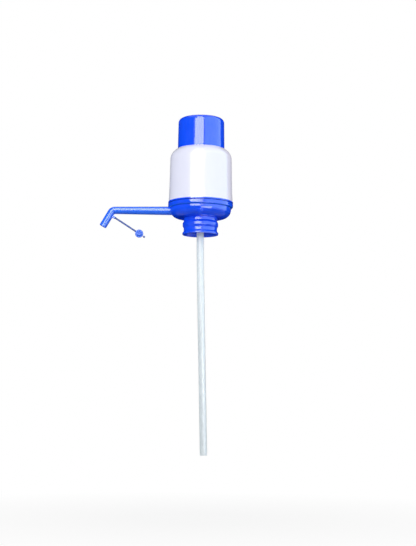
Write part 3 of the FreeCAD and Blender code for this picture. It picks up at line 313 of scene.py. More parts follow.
@dataclass(frozen=True)
class GlossMoulding:
    """Hard plastic from a polished mould: faint orange peel, hairline scratches, rubbed edges.

    Seam and gate are sizes in mm, grip, joint and ledge are heights in mm, and each is left out at 0.
    """

    name: str
    colour: Colour
    roughness: float = 0.10
    cloud: float = 0.05
    peel: float = 0.00018
    scratch: float = 0.0006
    ior: float = 1.54
    scatter: float = 0.0
    grain: Grain = Grain.UPRIGHT
    rubbed: bool = False
    grip: float = 0.0
    seam: float = 0.0
    gate: float = 0.0
    joint: float = 0.0
    ledge: float = 0.0
    # paler blue of the painted highlight along the ledge
    ledge_colour: Colour = (0.008, 0.16, 1.0)

    cloud_size, smear_size, rub_size, peel_size, fine_size = 26.0, 9.0, 2.5, 5.0, 0.7
    smear_cut, rub_cut, dirt_cut = (0.35, 0.75), (0.35, 0.65), (0.35, 0.9)
    cloud_pale = 0.2                             # part of the cloud's depth
    smear_low, smear_high = 0.92, 1.12           # parts of the roughness
    scratch_dull, rub_dull, grip_dull = 0.12, 0.12, 0.38
    rub_share, rub_pale, dirt_share, dirt_dark = 0.2, 0.15, 0.75, -0.9
    fine_share = 0.25                            # part of the peel's depth
    seam_core, gate_core = 0.4, 0.85             # parts of the seam's and the gate's size
    seam_height, gate_height, joint_depth, ledge_depth = 0.03, 0.12, -0.3, 1.3
    grip_fade, joint_core, joint_w, line_core, line_w = 0.3, 0.1, 0.7, 0.2, 1.0
    slope_h, edge_h = 1.3, 2.6

    def make(self) -> bpy.types.Material:
        """Build the material.

        Returns:
            The new material.
        """
        paint = Paint(self.name, self.colour, -self.cloud)
        paint.shade(paint.clouds(self.cloud_size), self.cloud * self.cloud_pale)
        scratches = paint.hairlines(self.grain)
        paint.rough = paint.levels(paint.noise(self.smear_size, detail=5.0), *self.smear_cut,
                                   self.roughness * self.smear_low, self.roughness * self.smear_high)
        paint.dull(scratches, self.scratch_dull)
        if self.rubbed:
            worn = paint.times(paint.edges(), paint.levels(paint.noise(self.rub_size), *self.rub_cut))
            paint.shade(paint.times(worn, self.rub_share), self.rub_pale)
            paint.dull(worn, self.rub_dull)
        if self.grip:
            paint.dull(paint.rise("Z", self.grip - self.grip_fade, self.grip), self.grip_dull)
        paint.emboss(paint.noise(self.peel_size, detail=1.0), self.peel)
        paint.emboss(paint.noise(self.fine_size, detail=2.0), self.peel * self.fine_share)
        paint.emboss(scratches, -self.scratch)
        if self.seam:
            paint.emboss(paint.near("Y", 0.0, self.seam * self.seam_core, self.seam), self.seam_height)
        if self.gate:
            core, rim = self.gate * self.gate_core * MM, self.gate * MM
            reach = paint.reach(Vector(), axes=(1.0, 1.0, 0.0))
            paint.emboss(paint.levels(reach, core, rim), self.gate_height)
        if self.joint:
            self.close_joint(paint)
        if self.ledge:
            self.even_ledge(paint)
        return paint.finish(self.scatter, IOR=self.ior)

    def close_joint(self, paint: Paint) -> None:
        """Show the softened edges of the joint between two mouldings, and a dark line along it that is
        fine dirt and painted shade of the gap.

        Args:
            paint: Material to add them to.
        """
        joint = paint.near("Z", self.joint, self.joint_core, self.joint_w)
        # dark line along the joint: fine dirt and painted shade of the gap
        paint.shade(paint.levels(joint, *self.dirt_cut, 0.0, self.dirt_share), self.dirt_dark)
        paint.emboss(joint, self.joint_depth)

    def even_ledge(self, paint: Paint) -> None:
        """Run the gloss evenly over the band's rounded lower edge and the slope under it, and paint a
        highlight along the ledge.

        Args:
            paint: Material to change. Its tone gets a painted highlight where the edge catches light
                from the bowl.
        """
        edge = paint.rise("Z", self.ledge, self.ledge + self.edge_h, 1.0, 0.0)
        slope = paint.rise("Z", self.ledge - self.slope_h, self.ledge)
        paint.emboss(paint.times(slope, paint.times(edge, edge)), self.ledge_depth)
        # painted highlight: a paler blue mixed into the tone along the ledge
        paint.tint(paint.near("Z", self.ledge, self.line_core, self.line_w), self.ledge_colour)


@dataclass(frozen=True)
class SatinMoulding:
    """Plastic from a plain mould: fine spark-eroded grain and soft flow marks.

    Parts further from broad_at than broad_r, such as the thin strap, are painted darker: painted shade.
    """

    name: str
    colour: Colour
    roughness: float = 0.42
    depth: float = 0.004
    ior: float = 1.5
    scatter: float = 0.0
    rubbed: bool = True
    broad_at: Vector | None = None
    broad_r: float = 0.0

    flow_size, rough_size, grain_size, wave_size = 12.0, 4.0, 0.35, 6.0
    flow_dark, flow_pale, rub_share, rub_pale, thin_dark = -0.06, 0.03, 0.3, 0.15, -0.7
    rough_low, rough_high = 0.85, 1.15           # parts of the roughness
    wave_depth = 0.004
    thin_fade = 0.8 * MM

    def make(self) -> bpy.types.Material:
        """Build the material.

        Returns:
            The new material.
        """
        paint = Paint(self.name, self.colour, self.flow_dark)
        paint.shade(paint.clouds(self.flow_size), self.flow_pale)
        if self.rubbed:
            paint.shade(paint.times(paint.edges(), self.rub_share), self.rub_pale)
        # painted shade: parts beyond broad_r from broad_at, such as the strap, are painted darker
        if self.broad_at is not None:
            thin = paint.levels(paint.reach(self.broad_at), self.broad_r, self.broad_r + self.thin_fade)
            paint.shade(thin, self.thin_dark)
        paint.rough = paint.clouds(self.rough_size, self.roughness * self.rough_low,
                                   self.roughness * self.rough_high)
        paint.emboss(paint.noise(self.grain_size, rough=0.65), self.depth)
        paint.emboss(paint.noise(self.wave_size), self.wave_depth)
        return paint.finish(self.scatter, IOR=self.ior)


@dataclass(frozen=True)
class SoftRubber:
    """Silicone or rubber moulding: dull, slightly dusty in patches."""

    name: str
    colour: Colour
    roughness: float = 0.55
    scatter: float = 0.15

    dust_size, dust_cut, dust_share, dust_pale, dust_dull = 3.0, (0.45, 0.75), 0.5, 0.08, 0.15
    skin_size, skin_depth = 0.25, 0.006
    scatter_depth, ior = 1.5, 1.43

    def make(self) -> bpy.types.Material:
        """Build the material.

        Returns:
            The new material.
        """
        paint = Paint(self.name, self.colour)
        dust = paint.levels(paint.noise(self.dust_size, detail=6.0, rough=0.7), *self.dust_cut)
        paint.shade(paint.times(dust, self.dust_share), self.dust_pale)
        paint.rough = paint.levels(dust, 0.0, 1.0, self.roughness, self.roughness + self.dust_dull)
        paint.emboss(paint.noise(self.skin_size, rough=0.6), self.skin_depth)
        return paint.finish(self.scatter, self.scatter_depth, IOR=self.ior)


@dataclass(frozen=True)
class DrawnTube:
    """Milky polyethylene tube with the fine lengthwise lines of its die."""

    name: str
    colour: Colour
    roughness: float = 0.26

    milk_size, milk = 18.0, 0.04
    line_size, line_cut, line_share, line_dark = 0.6, (0.4, 0.7), 0.10, -0.12
    rough_cut, rough_low, rough_high = (0.3, 0.7), 0.8, 1.3
    line_depth, scuff_size, scuff_depth = 0.003, 5.0, 0.003
    scatter, scatter_depth, clear, ior = 0.3, 1.5, 0.12, 1.51

    def make(self) -> bpy.types.Material:
        """Build the material.

        Returns:
            The new material.
        """
        paint = Paint(self.name, self.colour, -self.milk)
        lines = paint.noise(self.line_size, detail=2.0, rough=0.6, grain=Grain.UPRIGHT)
        paint.shade(paint.clouds(self.milk_size), self.milk)
        paint.shade(paint.levels(lines, *self.line_cut, 0.0, self.line_share), self.line_dark)
        paint.rough = paint.levels(lines, *self.rough_cut, self.roughness * self.rough_low,
                                   self.roughness * self.rough_high)
        paint.emboss(lines, self.line_depth)
        paint.emboss(paint.noise(self.scuff_size, detail=5.0), self.scuff_depth)
        return paint.finish(self.scatter, self.scatter_depth, IOR=self.ior,
                            Transmission_Weight=self.clear)


@dataclass(frozen=True)
class PlatedSteel:
    """Plated or drawn steel with tool marks."""

    name: str
    colour: Colour
    roughness: float = 0.3

    stain_size, stain_dark, stain_pale = 1.5, -0.12, 0.06
    mark_size, mark_cut, mark_depth = 0.2, (0.3, 0.7), 0.004
    rough_low, rough_high = 0.75, 1.35           # parts of the roughness

    def make(self) -> bpy.types.Material:
        """Build the material.

        Returns:
            The new material.
        """
        paint = Paint(self.name, self.colour, self.stain_dark)
        paint.shade(paint.clouds(self.stain_size), self.stain_pale)
        marks = paint.noise(self.mark_size, rough=0.65)
        paint.rough = paint.levels(marks, *self.mark_cut, self.roughness * self.rough_low,
                                   self.roughness * self.rough_high)
        paint.emboss(marks, self.mark_depth)
        return paint.finish(Metallic=1.0)


class Finish(Enum):
    """Finishes of the pump's pieces."""

    BLUE = "blue"
    BLUE_CAP = "blue_cap"
    BLUE_SPOUT = "blue_spout"
    WHITE = "white"
    NATURAL = "natural"
    BELLOWS = "bellows"
    SILICONE = "silicone"
    DARK_RUBBER = "dark_rubber"
    COLLAR = "collar"
    SOFT_BLUE = "soft_blue"
    TUBE = "tube"
    SCREW = "screw"
    SPRING = "spring"


class Finishes:
    """All the materials of the pump, and the slots of the record that they stand for."""

    slots = {
        Finish.BLUE: "blue_gloss", Finish.BLUE_CAP: "blue_gloss", Finish.BLUE_SPOUT: "blue_gloss",
        Finish.WHITE: "white_gloss", Finish.NATURAL: "natural_plastic", Finish.BELLOWS: "bellows_rubber",
        Finish.SILICONE: "silicone", Finish.DARK_RUBBER: "dark_rubber", Finish.COLLAR: "blue_collar",
        Finish.SOFT_BLUE: "blue_soft", Finish.TUBE: "tube_plastic", Finish.SCREW: "screw_steel",
        Finish.SPRING: "spring_steel",
    }

    def __init__(self) -> None:
        """Build every material once."""
        blue = (0.003, 0.082, 1.0)
        recipes = {
            Finish.BLUE: GlossMoulding("blue_gloss_moulding", blue, joint=29.5, ledge=22.60),
            Finish.BLUE_CAP: GlossMoulding("blue_cap_moulding", blue, rubbed=True, gate=1.6, grip=174.3),
            # the spout's lighter blue is painted light, standing in for the light it lacks from below
            Finish.BLUE_SPOUT: GlossMoulding("blue_spout_moulding", (0.018, 0.16, 1.0), roughness=0.21,
                                             peel=0.00002, scratch=0.0001, seam=0.12,
                                             grain=Grain.SIDEWAYS),
            Finish.WHITE: GlossMoulding("white_gloss_moulding", (0.83, 0.815, 0.965), roughness=0.22,
                                        cloud=0.015, scatter=0.05),
            Finish.NATURAL: SatinMoulding("natural_moulding", (0.80, 0.81, 0.82), scatter=0.1),
            Finish.BELLOWS: SoftRubber("bellows_moulding", (0.78, 0.80, 0.83), roughness=0.45),
            Finish.SILICONE: SoftRubber("silicone_moulding", (0.84, 0.85, 0.86), roughness=0.5),
            Finish.DARK_RUBBER: SoftRubber("dark_rubber", (0.025, 0.025, 0.028), scatter=0.0),
            Finish.COLLAR: GlossMoulding("collar_moulding", blue, roughness=0.15, peel=0.00003,
                                         scratch=0.0001, grain=Grain.ROUND),
            # the strap, away from the disc at broad_at, gets painted shade
            Finish.SOFT_BLUE: SatinMoulding("soft_blue_moulding", (0.018, 0.15, 0.85), roughness=0.4,
                                            depth=0.0002, ior=1.38, rubbed=False,
                                            broad_at=Vector((-101.83, 0, -21.24)) * MM,
                                            broad_r=6.5 * MM),
            Finish.TUBE: DrawnTube("milky_tube", (0.88, 0.94, 1.0)),
            Finish.SCREW: PlatedSteel("plated_screw_steel", (0.62, 0.62, 0.63)),
            Finish.SPRING: PlatedSteel("drawn_spring_wire", (0.70, 0.70, 0.71), roughness=0.22),
        }
        self.made = {finish: recipe.make() for finish, recipe in recipes.items()}

    def dress_node(self, node: str, finish: Finish) -> None:
        """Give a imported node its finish.

        Args:
            node: Name of the node.
            finish: Its finish.
        """
        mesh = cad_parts[node].data
        mesh.materials.clear()
        mesh.materials.append(self.made[finish])
        LOG.info("dressed %s in %s", node, finish.value)

    def dress_piece(self, piece: bpy.types.Object, finish: Finish, body: Body, *nodes: str) -> None:
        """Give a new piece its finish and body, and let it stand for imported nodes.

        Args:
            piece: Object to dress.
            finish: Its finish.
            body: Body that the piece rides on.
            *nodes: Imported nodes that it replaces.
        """
        piece.data.materials.clear()
        piece.data.materials.append(self.made[finish])
        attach(piece, body.value)
        if nodes:
            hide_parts(*nodes)
        LOG.info("made %s on %s", piece.name, body.value)


class Workshop:
    """Shapes shared by the sub-assemblies."""

    @staticmethod
    def rounded(corners: list[Corner], arc_steps: int = 8) -> Outline:
        """Outline with its corners rounded, the roundings limited by the sides.

        Args:
            corners: Closed outline of (r, z) or (r, z, rounding) in metres.
            arc_steps: Pieces that each rounding is drawn in.

        Returns:
            Points (r, z) of the rounded outline.
        """
        places = [Vector(corner[:2]) for corner in corners]
        count = len(places)
        backs = [places[i - 1] - places[i] for i in range(count)]
        aheads = [places[(i + 1) % count] - places[i] for i in range(count)]
        halves = [(math.pi - back.angle(ahead)) / 2 for back, ahead in zip(backs, aheads)]
        wanted = [(corner[2] if len(corner) > 2 else 0.0) * math.tan(half)
                  for corner, half in zip(corners, halves)]
        shares = []
        for i in range(count):
            both = wanted[i] + wanted[(i + 1) % count]
            shares.append(min(1.0, SIDE_USE * aheads[i].length / both) if both > 0 else 1.0)
        points = []
        for i, here in enumerate(places):
            reach = wanted[i] * min(shares[i - 1], shares[i])
            if reach < SMALLEST:
                points.append(tuple(here))
                continue
            back, ahead = backs[i].normalized(), aheads[i].normalized()
            fitted = reach / math.tan(halves[i])
            centre = here + (back + ahead).normalized() * fitted / math.cos(halves[i])
            start = here + back * reach - centre
            turn = start.angle_signed(here + ahead * reach - centre)
            for step in range(arc_steps + 1):
                spin = Matrix.Rotation(-turn * step / arc_steps, 2)
                points.append(tuple(centre + spin @ start))
        return points

    @staticmethod
    def pointing(origin: Vector, direction: Vector) -> Matrix:
        """Placement that turns +Z along a direction and moves to an origin."""
        return Matrix.Translation(origin) @ direction.to_track_quat("Z", "Y").to_matrix().to_4x4()

    @staticmethod
    def ring(work: Mesh, r: float, z: float, steps: int, place: Matrix | None = None) -> Ring:
        """Add a ring of points round the Z axis, or one point on it where the radius is none.

        Args:
            work: Mesh to add to.
            r: Radius of the ring.
            z: Height of the ring.
            steps: Number of its points.
            place: Placement of the ring.

        Returns:
            The new points.
        """
        place = place or Matrix.Identity(4)
        if r < SMALLEST:
            return [work.verts.new(place @ Vector((0, 0, z)))]
        return [work.verts.new(place @ Vector((r * math.cos(angle), r * math.sin(angle), z)))
                for angle in around(steps)]

    @staticmethod
    def turn(work: Mesh, outline: Outline, place: Matrix | None = None, steps: int = 96) -> None:
        """Add a solid of revolution, a closed outline turned round +Z and then placed."""
        rings = [Workshop.ring(work, r, z, steps, place) for r, z in outline]
        Workshop.skin(work, rings, closed=True)

    @staticmethod
    def lathe(name: str, corners: list[Corner], place: Matrix | None = None,
              steps: int = 96) -> bpy.types.Object:
        """Piece that is one solid of revolution.

        Args:
            name: Name of the piece.
            corners: Closed outline of (r, z, rounding) in metres.
            place: Placement of the solid, whose axis is +Z before it.
            steps: Faces round the axis.

        Returns:
            The new object, at the origin.
        """
        work = bmesh.new()
        Workshop.turn(work, Workshop.rounded(corners, arc_steps=6), place, steps)
        return Workshop.finished(name, work)

    @staticmethod
    def skin(work: Mesh, rings: list[Ring], closed: bool) -> None:
        """Join rings of points with faces. A ring of one point closes to a fan.

        Args:
            work: Mesh that the rings belong to.
            rings: Rings in order.
            closed: Whether the last ring joins the first.
        """
        pairs = list(zip(rings, rings[1:]))
        if closed:
            pairs.append((rings[-1], rings[0]))
        for low, high in pairs:
            if len(low) == 1 and len(high) == 1:
                continue
            count = max(len(low), len(high))
            for k in range(count):
                after = (k + 1) % count
                corners = [low[k % len(low)], low[after % len(low)],
                           high[after % len(high)], high[k % len(high)]]
                work.faces.new(list(dict.fromkeys(corners)))

    @staticmethod
    def finished(name: str, work: Mesh, sharp_deg: float = 32.0) -> bpy.types.Object:
        """Turn a working mesh into an object with smooth faces and true edges.

        Args:
            name: Name of the piece.
            work: Mesh to take.
            sharp_deg: Angle from which an edge stays sharp.

        Returns:
            The new object.
        """
        bmesh.ops.recalc_face_normals(work, faces=work.faces)
        mesh = bpy.data.meshes.new(name)
        work.to_mesh(mesh)
        work.free()
        mesh.shade_smooth()
        mesh.set_sharp_from_angle(angle=math.radians(sharp_deg))
        piece = bpy.data.objects.new(name, mesh)
        bpy.context.scene.collection.objects.link(piece)
        return piece

    @staticmethod
    def bake(piece: bpy.types.Object) -> None:
        """Turn a piece's modifiers into its own mesh.

        Args:
            piece: Object to change.
        """
        graph = bpy.context.evaluated_depsgraph_get()
        done = bpy.data.meshes.new_from_object(piece.evaluated_get(graph))
        piece.modifiers.clear()
        piece.data = done


@dataclass
class Unit:
    """Sub-assembly of the pump, dressed in the pump's finishes."""

    finishes: Finishes


@dataclass
class UmbrellaValve(Unit):
    """Rubber valve: thin curved skirt under a wall, stem through it, bead above it."""

    name: str
    node: str
    body: Body
    centre: Vector
    skirt_r: float
    wall: float
    hub_r: float = 3.4 * MM
    hub_t: float = 1.2 * MM
    rim_t: float = 0.5 * MM
    hollow: float = 0.35 * MM
    hollow_use: float = 0.8
    belly: float = 0.72
    belly_round: float = 4 * MM
    lip: float = 0.8 * MM
    stem_r: float = 1.7 * MM
    bead_r: float = 2.5 * MM
    bead_h: float = 1.4 * MM
    bead_taper: float = 0.9
    step: float = 0.4 * MM
    gap: float = 0.05 * MM
    soft: float = 1 * MM

    def build(self) -> None:
        """Turn the valve and dress it."""
        bead_low = self.wall + self.gap
        bead_top = bead_low + self.bead_h
        inside = -self.gap - self.hollow * self.hollow_use
        corners = [
            (0, -self.hub_t), (self.hub_r, -self.hub_t, self.soft),
            (self.skirt_r * self.belly, -self.rim_t - self.hollow, self.belly_round),
            (self.skirt_r, -self.rim_t - self.gap, 0.2 * MM), (self.skirt_r, -self.gap),
            (self.skirt_r - self.lip, -self.gap), (self.skirt_r - 2 * self.lip, inside, self.soft),
            (self.hub_r, inside, self.soft), (self.stem_r + self.step, -self.gap),
            (self.stem_r, -self.gap), (self.stem_r, bead_low), (self.bead_r, bead_low, 0.3 * MM),
            (self.stem_r * self.bead_taper, bead_top, 0.5 * MM), (0, bead_top),
        ]
        piece = Workshop.lathe(self.name, corners, Matrix.Translation(self.centre))
        self.finishes.dress_piece(piece, Finish.SILICONE, self.body, self.node)


@dataclass
class FlatSeal(Unit):
    """Rubber ring of nearly square section with soft edges."""

    name: str
    node: str
    inner_r: float
    outer_r: float
    low: float
    high: float
    ribs: int = 0
    edge: float = 0.25 * MM
    rib_h: float = 0.12 * MM
    rib_half: float = 0.4 * MM
    rib_round: float = 0.2 * MM

    def build(self) -> None:
        """Turn the ring, with round ribs on its underside, and dress it."""
        floor = self.low + (self.rib_h if self.ribs else 0.0)
        corners = [(self.inner_r, self.high, self.edge), (self.inner_r, floor, self.edge)]
        pitch = (self.outer_r - self.inner_r) / (self.ribs + 1)
        for i in range(self.ribs):
            crest = self.inner_r + pitch * (i + 1)
            corners += [(crest - self.rib_half, floor), (crest, self.low, self.rib_round),
                        (crest + self.rib_half, floor)]
        corners += [(self.outer_r, floor, self.edge), (self.outer_r, self.high, self.edge)]
        piece = Workshop.lathe(self.name, corners, steps=160)
        self.finishes.dress_piece(piece, Finish.SILICONE, Body.BASE, self.node)


@dataclass
class PressHead(Unit):
    """Press cap with the plate and the intake valve that move with it."""

    plate_low: float = 162.5 * MM
    plate_top: float = 167.8 * MM
    valve_r: float = 14.0 * MM

    def build(self) -> None:
        """Dress the press cap and its plate, and build the intake valve."""
        self.finishes.dress_node("press_cap", Finish.BLUE_CAP)
        self.finishes.dress_node("bellows_top_plate", Finish.NATURAL)
        UmbrellaValve(self.finishes, "intake_umbrella", "intake_valve", Body.PRESS,
                      Vector((0, 0, self.plate_low)), self.valve_r,
                      self.plate_top - self.plate_low).build()


@dataclass
class Housing(Unit):
    """White cover round the bellows."""

    def build(self) -> None:
        """Dress the cover."""
        self.finishes.dress_node("outer_cover", Finish.WHITE)


@dataclass
class BellowsUnit(Unit):
    """Bellows with the ring and the screws that hold its foot."""

    crest_r: float = 34.4 * MM
    root_r: float = 28.4 * MM
    wall: float = 1.0 * MM
    folds: int = 9
    foot_z: float = 32.4 * MM
    foot_r: float = 37.4 * MM
    foot_t: float = 1.6 * MM
    foot_round: float = 0.3 * MM
    cuff_r: float = 32.0 * MM
    cuff_h: float = 4.5 * MM
    cuff_round: float = 0.5 * MM
    top_r: float = 34.0 * MM
    lid_z: float = 165.55 * MM
    lid_t: float = 1.4 * MM
    lid_bore_r: float = 26.05 * MM
    fold_round: float = 1.2 * MM
    shoulder: float = 1.5 * MM
    shoulder_rise: float = 0.4 * MM
    stroke: float = 42.0 * MM

    def build(self) -> None:
        """Build the bellows and the screws, and dress the ring."""
        piece = Workshop.lathe("pump_bellows", self.outline(), steps=160)
        self.finishes.dress_piece(piece, Finish.BELLOWS, Body.BASE, "bellows")
        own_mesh(piece)
        self.finishes.dress_node("bellows_clamp_ring", Finish.NATURAL)
        ClampScrews(self.finishes).build()

    def outline(self) -> list[Corner]:
        """Outline of the bellows' wall.

        Returns:
            Corners (r, z, rounding), up the outside and down the inside.
        """
        cuff_top = self.foot_z + self.cuff_h
        folds_top = self.lid_z - self.cuff_h
        pitch = (folds_top - cuff_top) / self.folds
        wall = self.wall / math.cos(math.atan2(self.crest_r - self.root_r, pitch / 2))
        soft = self.wall
        fold = []
        for i in range(self.folds):
            root = cuff_top + i * pitch
            fold += [(self.root_r, root + pitch * 0.25), (self.crest_r, root + pitch * 0.75)]
        slope_r = self.root_r + self.shoulder
        slope_top = folds_top + self.shoulder
        lid_low = self.lid_z - self.lid_t
        inner = self.cuff_r - self.wall
        foot_top = self.foot_z + self.foot_t
        top_inner = self.top_r - self.wall
        return [
            (inner, self.foot_z), (self.foot_r, self.foot_z), (self.foot_r, foot_top, self.foot_round),
            (self.cuff_r, foot_top, self.cuff_round), (self.cuff_r, cuff_top, self.cuff_round),
            *[(r, z, self.fold_round) for r, z in fold],
            (slope_r, folds_top, soft), (self.top_r, slope_top, soft), (self.top_r, self.lid_z, soft),
            (self.lid_bore_r, self.lid_z), (self.lid_bore_r, lid_low),
            (top_inner, lid_low), (top_inner, slope_top + self.shoulder_rise, soft),
            (slope_r - wall, folds_top + self.shoulder_rise, soft),
            *[(r - wall, z, self.fold_round) for r, z in reversed(fold)],
            (inner, cuff_top, self.cuff_round),
        ]


@dataclass
class ClampScrews(Unit):
    """Four pan head screws with rolled threads and cross recesses."""

    count: int = 4
    circle_r: float = 41.55 * MM
    twist: float = 1.7
    head_z: float = 36.4 * MM
    length: float = 13.0 * MM
    point_h: float = 1.5 * MM
    major_r: float = 1.45 * MM
    minor_r: float = 1.15 * MM
    pitch: float = 1.1 * MM
    flank: float = 3.2
    head_r: float = 2.9 * MM
    head_h: float = 2.2 * MM
    head_round: float = 1.4 * MM
    head_edge: float = 0.1 * MM
    recess_span: float = 3.8 * MM
    recess_w: float = 0.7 * MM
    recess_depth: float = 1.3 * MM
    recess_over: float = 1 * MM
    recess_shares: tuple[float, float] = (0.55, 1.1)
    rows_per_turn: int = 8
    plain_rows: int = 4
    steps: int = 36

    def build(self) -> None:
        """Build one screw, copy it round the circle and dress the set."""
        model = self.screw()
        work = bmesh.new()
        for i in range(self.count):
            angle = FULL_TURN * (i + 0.5) / self.count
            spot = Vector((math.cos(angle), math.sin(angle), 0)) * self.circle_r
            copy = model.data.copy()
            copy.transform(Matrix.Translation(spot) @ Matrix.Rotation(angle * self.twist, 4, "Z"))
            work.from_mesh(copy)
            bpy.data.meshes.remove(copy)
        bpy.data.objects.remove(model)
        piece = Workshop.finished("clamp_screw_set", work)
        self.finishes.dress_piece(piece, Finish.SCREW, Body.BASE, "clamp_screws")

    def screw(self) -> bpy.types.Object:
        """One screw on the Z axis.

        Returns:
            The new object, its recess cut.
        """
        work = bmesh.new()
        tip = self.head_z - self.length
        rings = [Workshop.ring(work, 0, tip, self.steps)]
        rows = int(self.length / self.pitch * self.rows_per_turn)
        for row in range(1, rows + 1):
            z = tip + self.length * row / rows
            grow = min(1.0, (z - tip) / self.point_h)
            thread = 0.0 if row > rows - self.plain_rows else self.major_r - self.minor_r
            ring = []
            for angle in around(self.steps):
                wave = (z / self.pitch - angle / FULL_TURN) % 1.0
                r = grow * (self.minor_r + thread * max(0.0, 1.0 - abs(wave - 0.5) * self.flank))
                ring.append(work.verts.new((r * math.cos(angle), r * math.sin(angle), z)))
            rings.append(ring)
        top = self.head_z + self.head_h
        head = Workshop.rounded([(self.minor_r, self.head_z), (self.head_r, self.head_z, self.head_edge),
                                 (self.head_r, top, self.head_round), (0, top)])
        rings += [Workshop.ring(work, r, z, self.steps) for r, z in head[1:]]
        Workshop.skin(work, rings, closed=False)
        model = Workshop.finished("one_screw", work)
        cutter = self.cross(top)
        cut = model.modifiers.new("recess", "BOOLEAN")
        cut.object = cutter
        cut.operation = "DIFFERENCE"
        cut.solver = "EXACT"
        Workshop.bake(model)
        bpy.data.objects.remove(cutter)
        return model

    def cross(self, top: float) -> bpy.types.Object:
        """Tapered cross that cuts the recess.

        Args:
            top: Height of the screw's head.

        Returns:
            The new object.
        """
        work = bmesh.new()
        half, thick = self.recess_span / 2, self.recess_w / 2
        plan = []
        for x, y in ((1, 0), (0, 1), (-1, 0), (0, -1)):
            plan += [(half * x + thick * y, half * y - thick * x),
                     (half * x - thick * y, half * y + thick * x), (thick * (x - y), thick * (x + y))]
        floor, roof = top - self.recess_depth, top + self.recess_over
        rings = [Workshop.ring(work, 0, floor, 1)]
        for z, share in zip((floor, roof), self.recess_shares):
            rings.append([work.verts.new((x * share, y * share, z)) for x, y in plan])
        rings.append(Workshop.ring(work, 0, roof, 1))
        Workshop.skin(work, rings, closed=False)
        return Workshop.finished("recess_cutter", work)


@dataclass
class DeckUnit(Unit):
    """Deck that closes the air chest, with its gasket and the discharge valve."""

    under_z: float = 29.6 * MM
    plate_t: float = 2.8 * MM
    valve_x: float = 16.0 * MM
    valve_r: float = 8.8 * MM
    seal: tuple[float, ...] = (48.55 * MM, 50.9 * MM, 25.6 * MM, 26.6 * MM)

    def build(self) -> None:
        """Dress the deck, and build its gasket and its valve."""
        self.finishes.dress_node("deck_plate", Finish.BLUE)
        FlatSeal(self.finishes, "deck_seal", "deck_gasket", *self.seal).build()
        UmbrellaValve(self.finishes, "discharge_umbrella", "discharge_valve", Body.BASE,
                      Vector((self.valve_x, 0, self.under_z)), self.valve_r, self.plate_t).build()


@dataclass
class BaseUnit(Unit):
    """Bowl with the water elbow inside."""

    seal: tuple[float, ...] = (5.7 * MM, 10.4 * MM, 4.8 * MM, 6.0 * MM)

    def build(self) -> None:
        """Dress the base and the elbow, and build the elbow's gasket."""
        self.finishes.dress_node("base_body", Finish.BLUE)
        self.finishes.dress_node("water_elbow", Finish.NATURAL)
        FlatSeal(self.finishes, "elbow_seal", "elbow_gasket", *self.seal).build()


@dataclass
class NeckUnit(Unit):
    """What reaches into and round the bottle's neck: gasket, collar and dip tube."""

    seal: tuple[float, ...] = (17.0 * MM, 25.9 * MM, 0.0, 2.4 * MM)
    tube_r: float = 6.0 * MM
    bore_r: float = 4.8 * MM
    tube_top: float = 1.9 * MM
    straight_top: float = 12.0 * MM
    set_length: float = 80.0 * MM
    set_deg: float = 1.5
    set_rows: int = 12
    tail: float = 296.0 * MM
    tail_rows: int = 60
    lip: float = 0.25 * MM
    wave: float = 0.025 * MM
    wave_turns: tuple[float, float] = (1.9, 0.37)
    oval: float = 0.004
    oval_turn: float = 0.05
    tube_steps: int = 72

    def build(self) -> None:
        """Build the gasket and the tube, and dress the collar."""
        FlatSeal(self.finishes, "mouth_seal", "neck_gasket", *self.seal, ribs=3).build()
        self.finishes.dress_node("bottle_collar", Finish.COLLAR)
        self.finishes.dress_piece(self.tube(), Finish.TUBE, Body.BASE, "dip_tube")

    def centre_line(self) -> list[Vector]:
        """Points down the tube's middle.

        Returns:
            Points from the top to the foot.
        """
        line = [Vector((0, 0, self.tube_top)), Vector((0, 0, self.tube_top - self.straight_top * 0.5))]
        bend_z = self.tube_top - self.straight_top
        turn = math.radians(self.set_deg)
        bend_r = self.set_length / turn
        for i in range(self.set_rows + 1):
            angle = turn * i / self.set_rows
            line.append(Vector((bend_r * (1 - math.cos(angle)), 0, bend_z - bend_r * math.sin(angle))))
        down = Vector((math.sin(turn), 0, -math.cos(turn)))
        start = line[-1]
        for i in range(1, self.tail_rows + 1):
            line.append(start + down * self.tail * i / self.tail_rows)
        return line

    def tube(self) -> bpy.types.Object:
        """Tube with softened cut ends and the slight waves of drawn plastic.

        Returns:
            The new object.
        """
        line = self.centre_line()
        work = bmesh.new()
        rings = []
        last = len(line) - 1
        walls = ((range(last + 1), self.tube_r, -self.lip), (range(last, -1, -1), self.bore_r, self.lip))
        for places, radius, lip in walls:
            for i in places:
                end = i in (0, last)
                rings.append(self.ring(work, line, i, radius + (lip if end else 0.0), end))
        Workshop.skin(work, rings, closed=True)
        return Workshop.finished("drawn_dip_tube", work, sharp_deg=60.0)

    def ring(self, work: Mesh, line: list[Vector], i: int, radius: float, end: bool) -> Ring:
        """One ring of points round the tube.

        Args:
            work: Mesh to add to.
            line: Points of the tube's middle.
            i: Place along the line.
            radius: Radius of the ring.
            end: Whether the ring lies at a cut end.

        Returns:
            The points of the ring.
        """
        ahead = (line[min(i + 1, len(line) - 1)] - line[max(i - 1, 0)]).normalized()
        across = Vector((0, 1, 0))
        beside = ahead.cross(across)
        quick, slow = (math.sin(i * turn) for turn in self.wave_turns)
        wave = 0.0 if end else self.wave * quick * slow
        ring = []
        for angle in around(self.tube_steps):
            oval = 1.0 + (0.0 if end else self.oval * math.cos(2 * angle + i * self.oval_turn))
            reach = (beside * math.cos(angle) + across * math.sin(angle)) * (radius * oval + wave)
            ring.append(work.verts.new(line[i] + reach))
        return ring


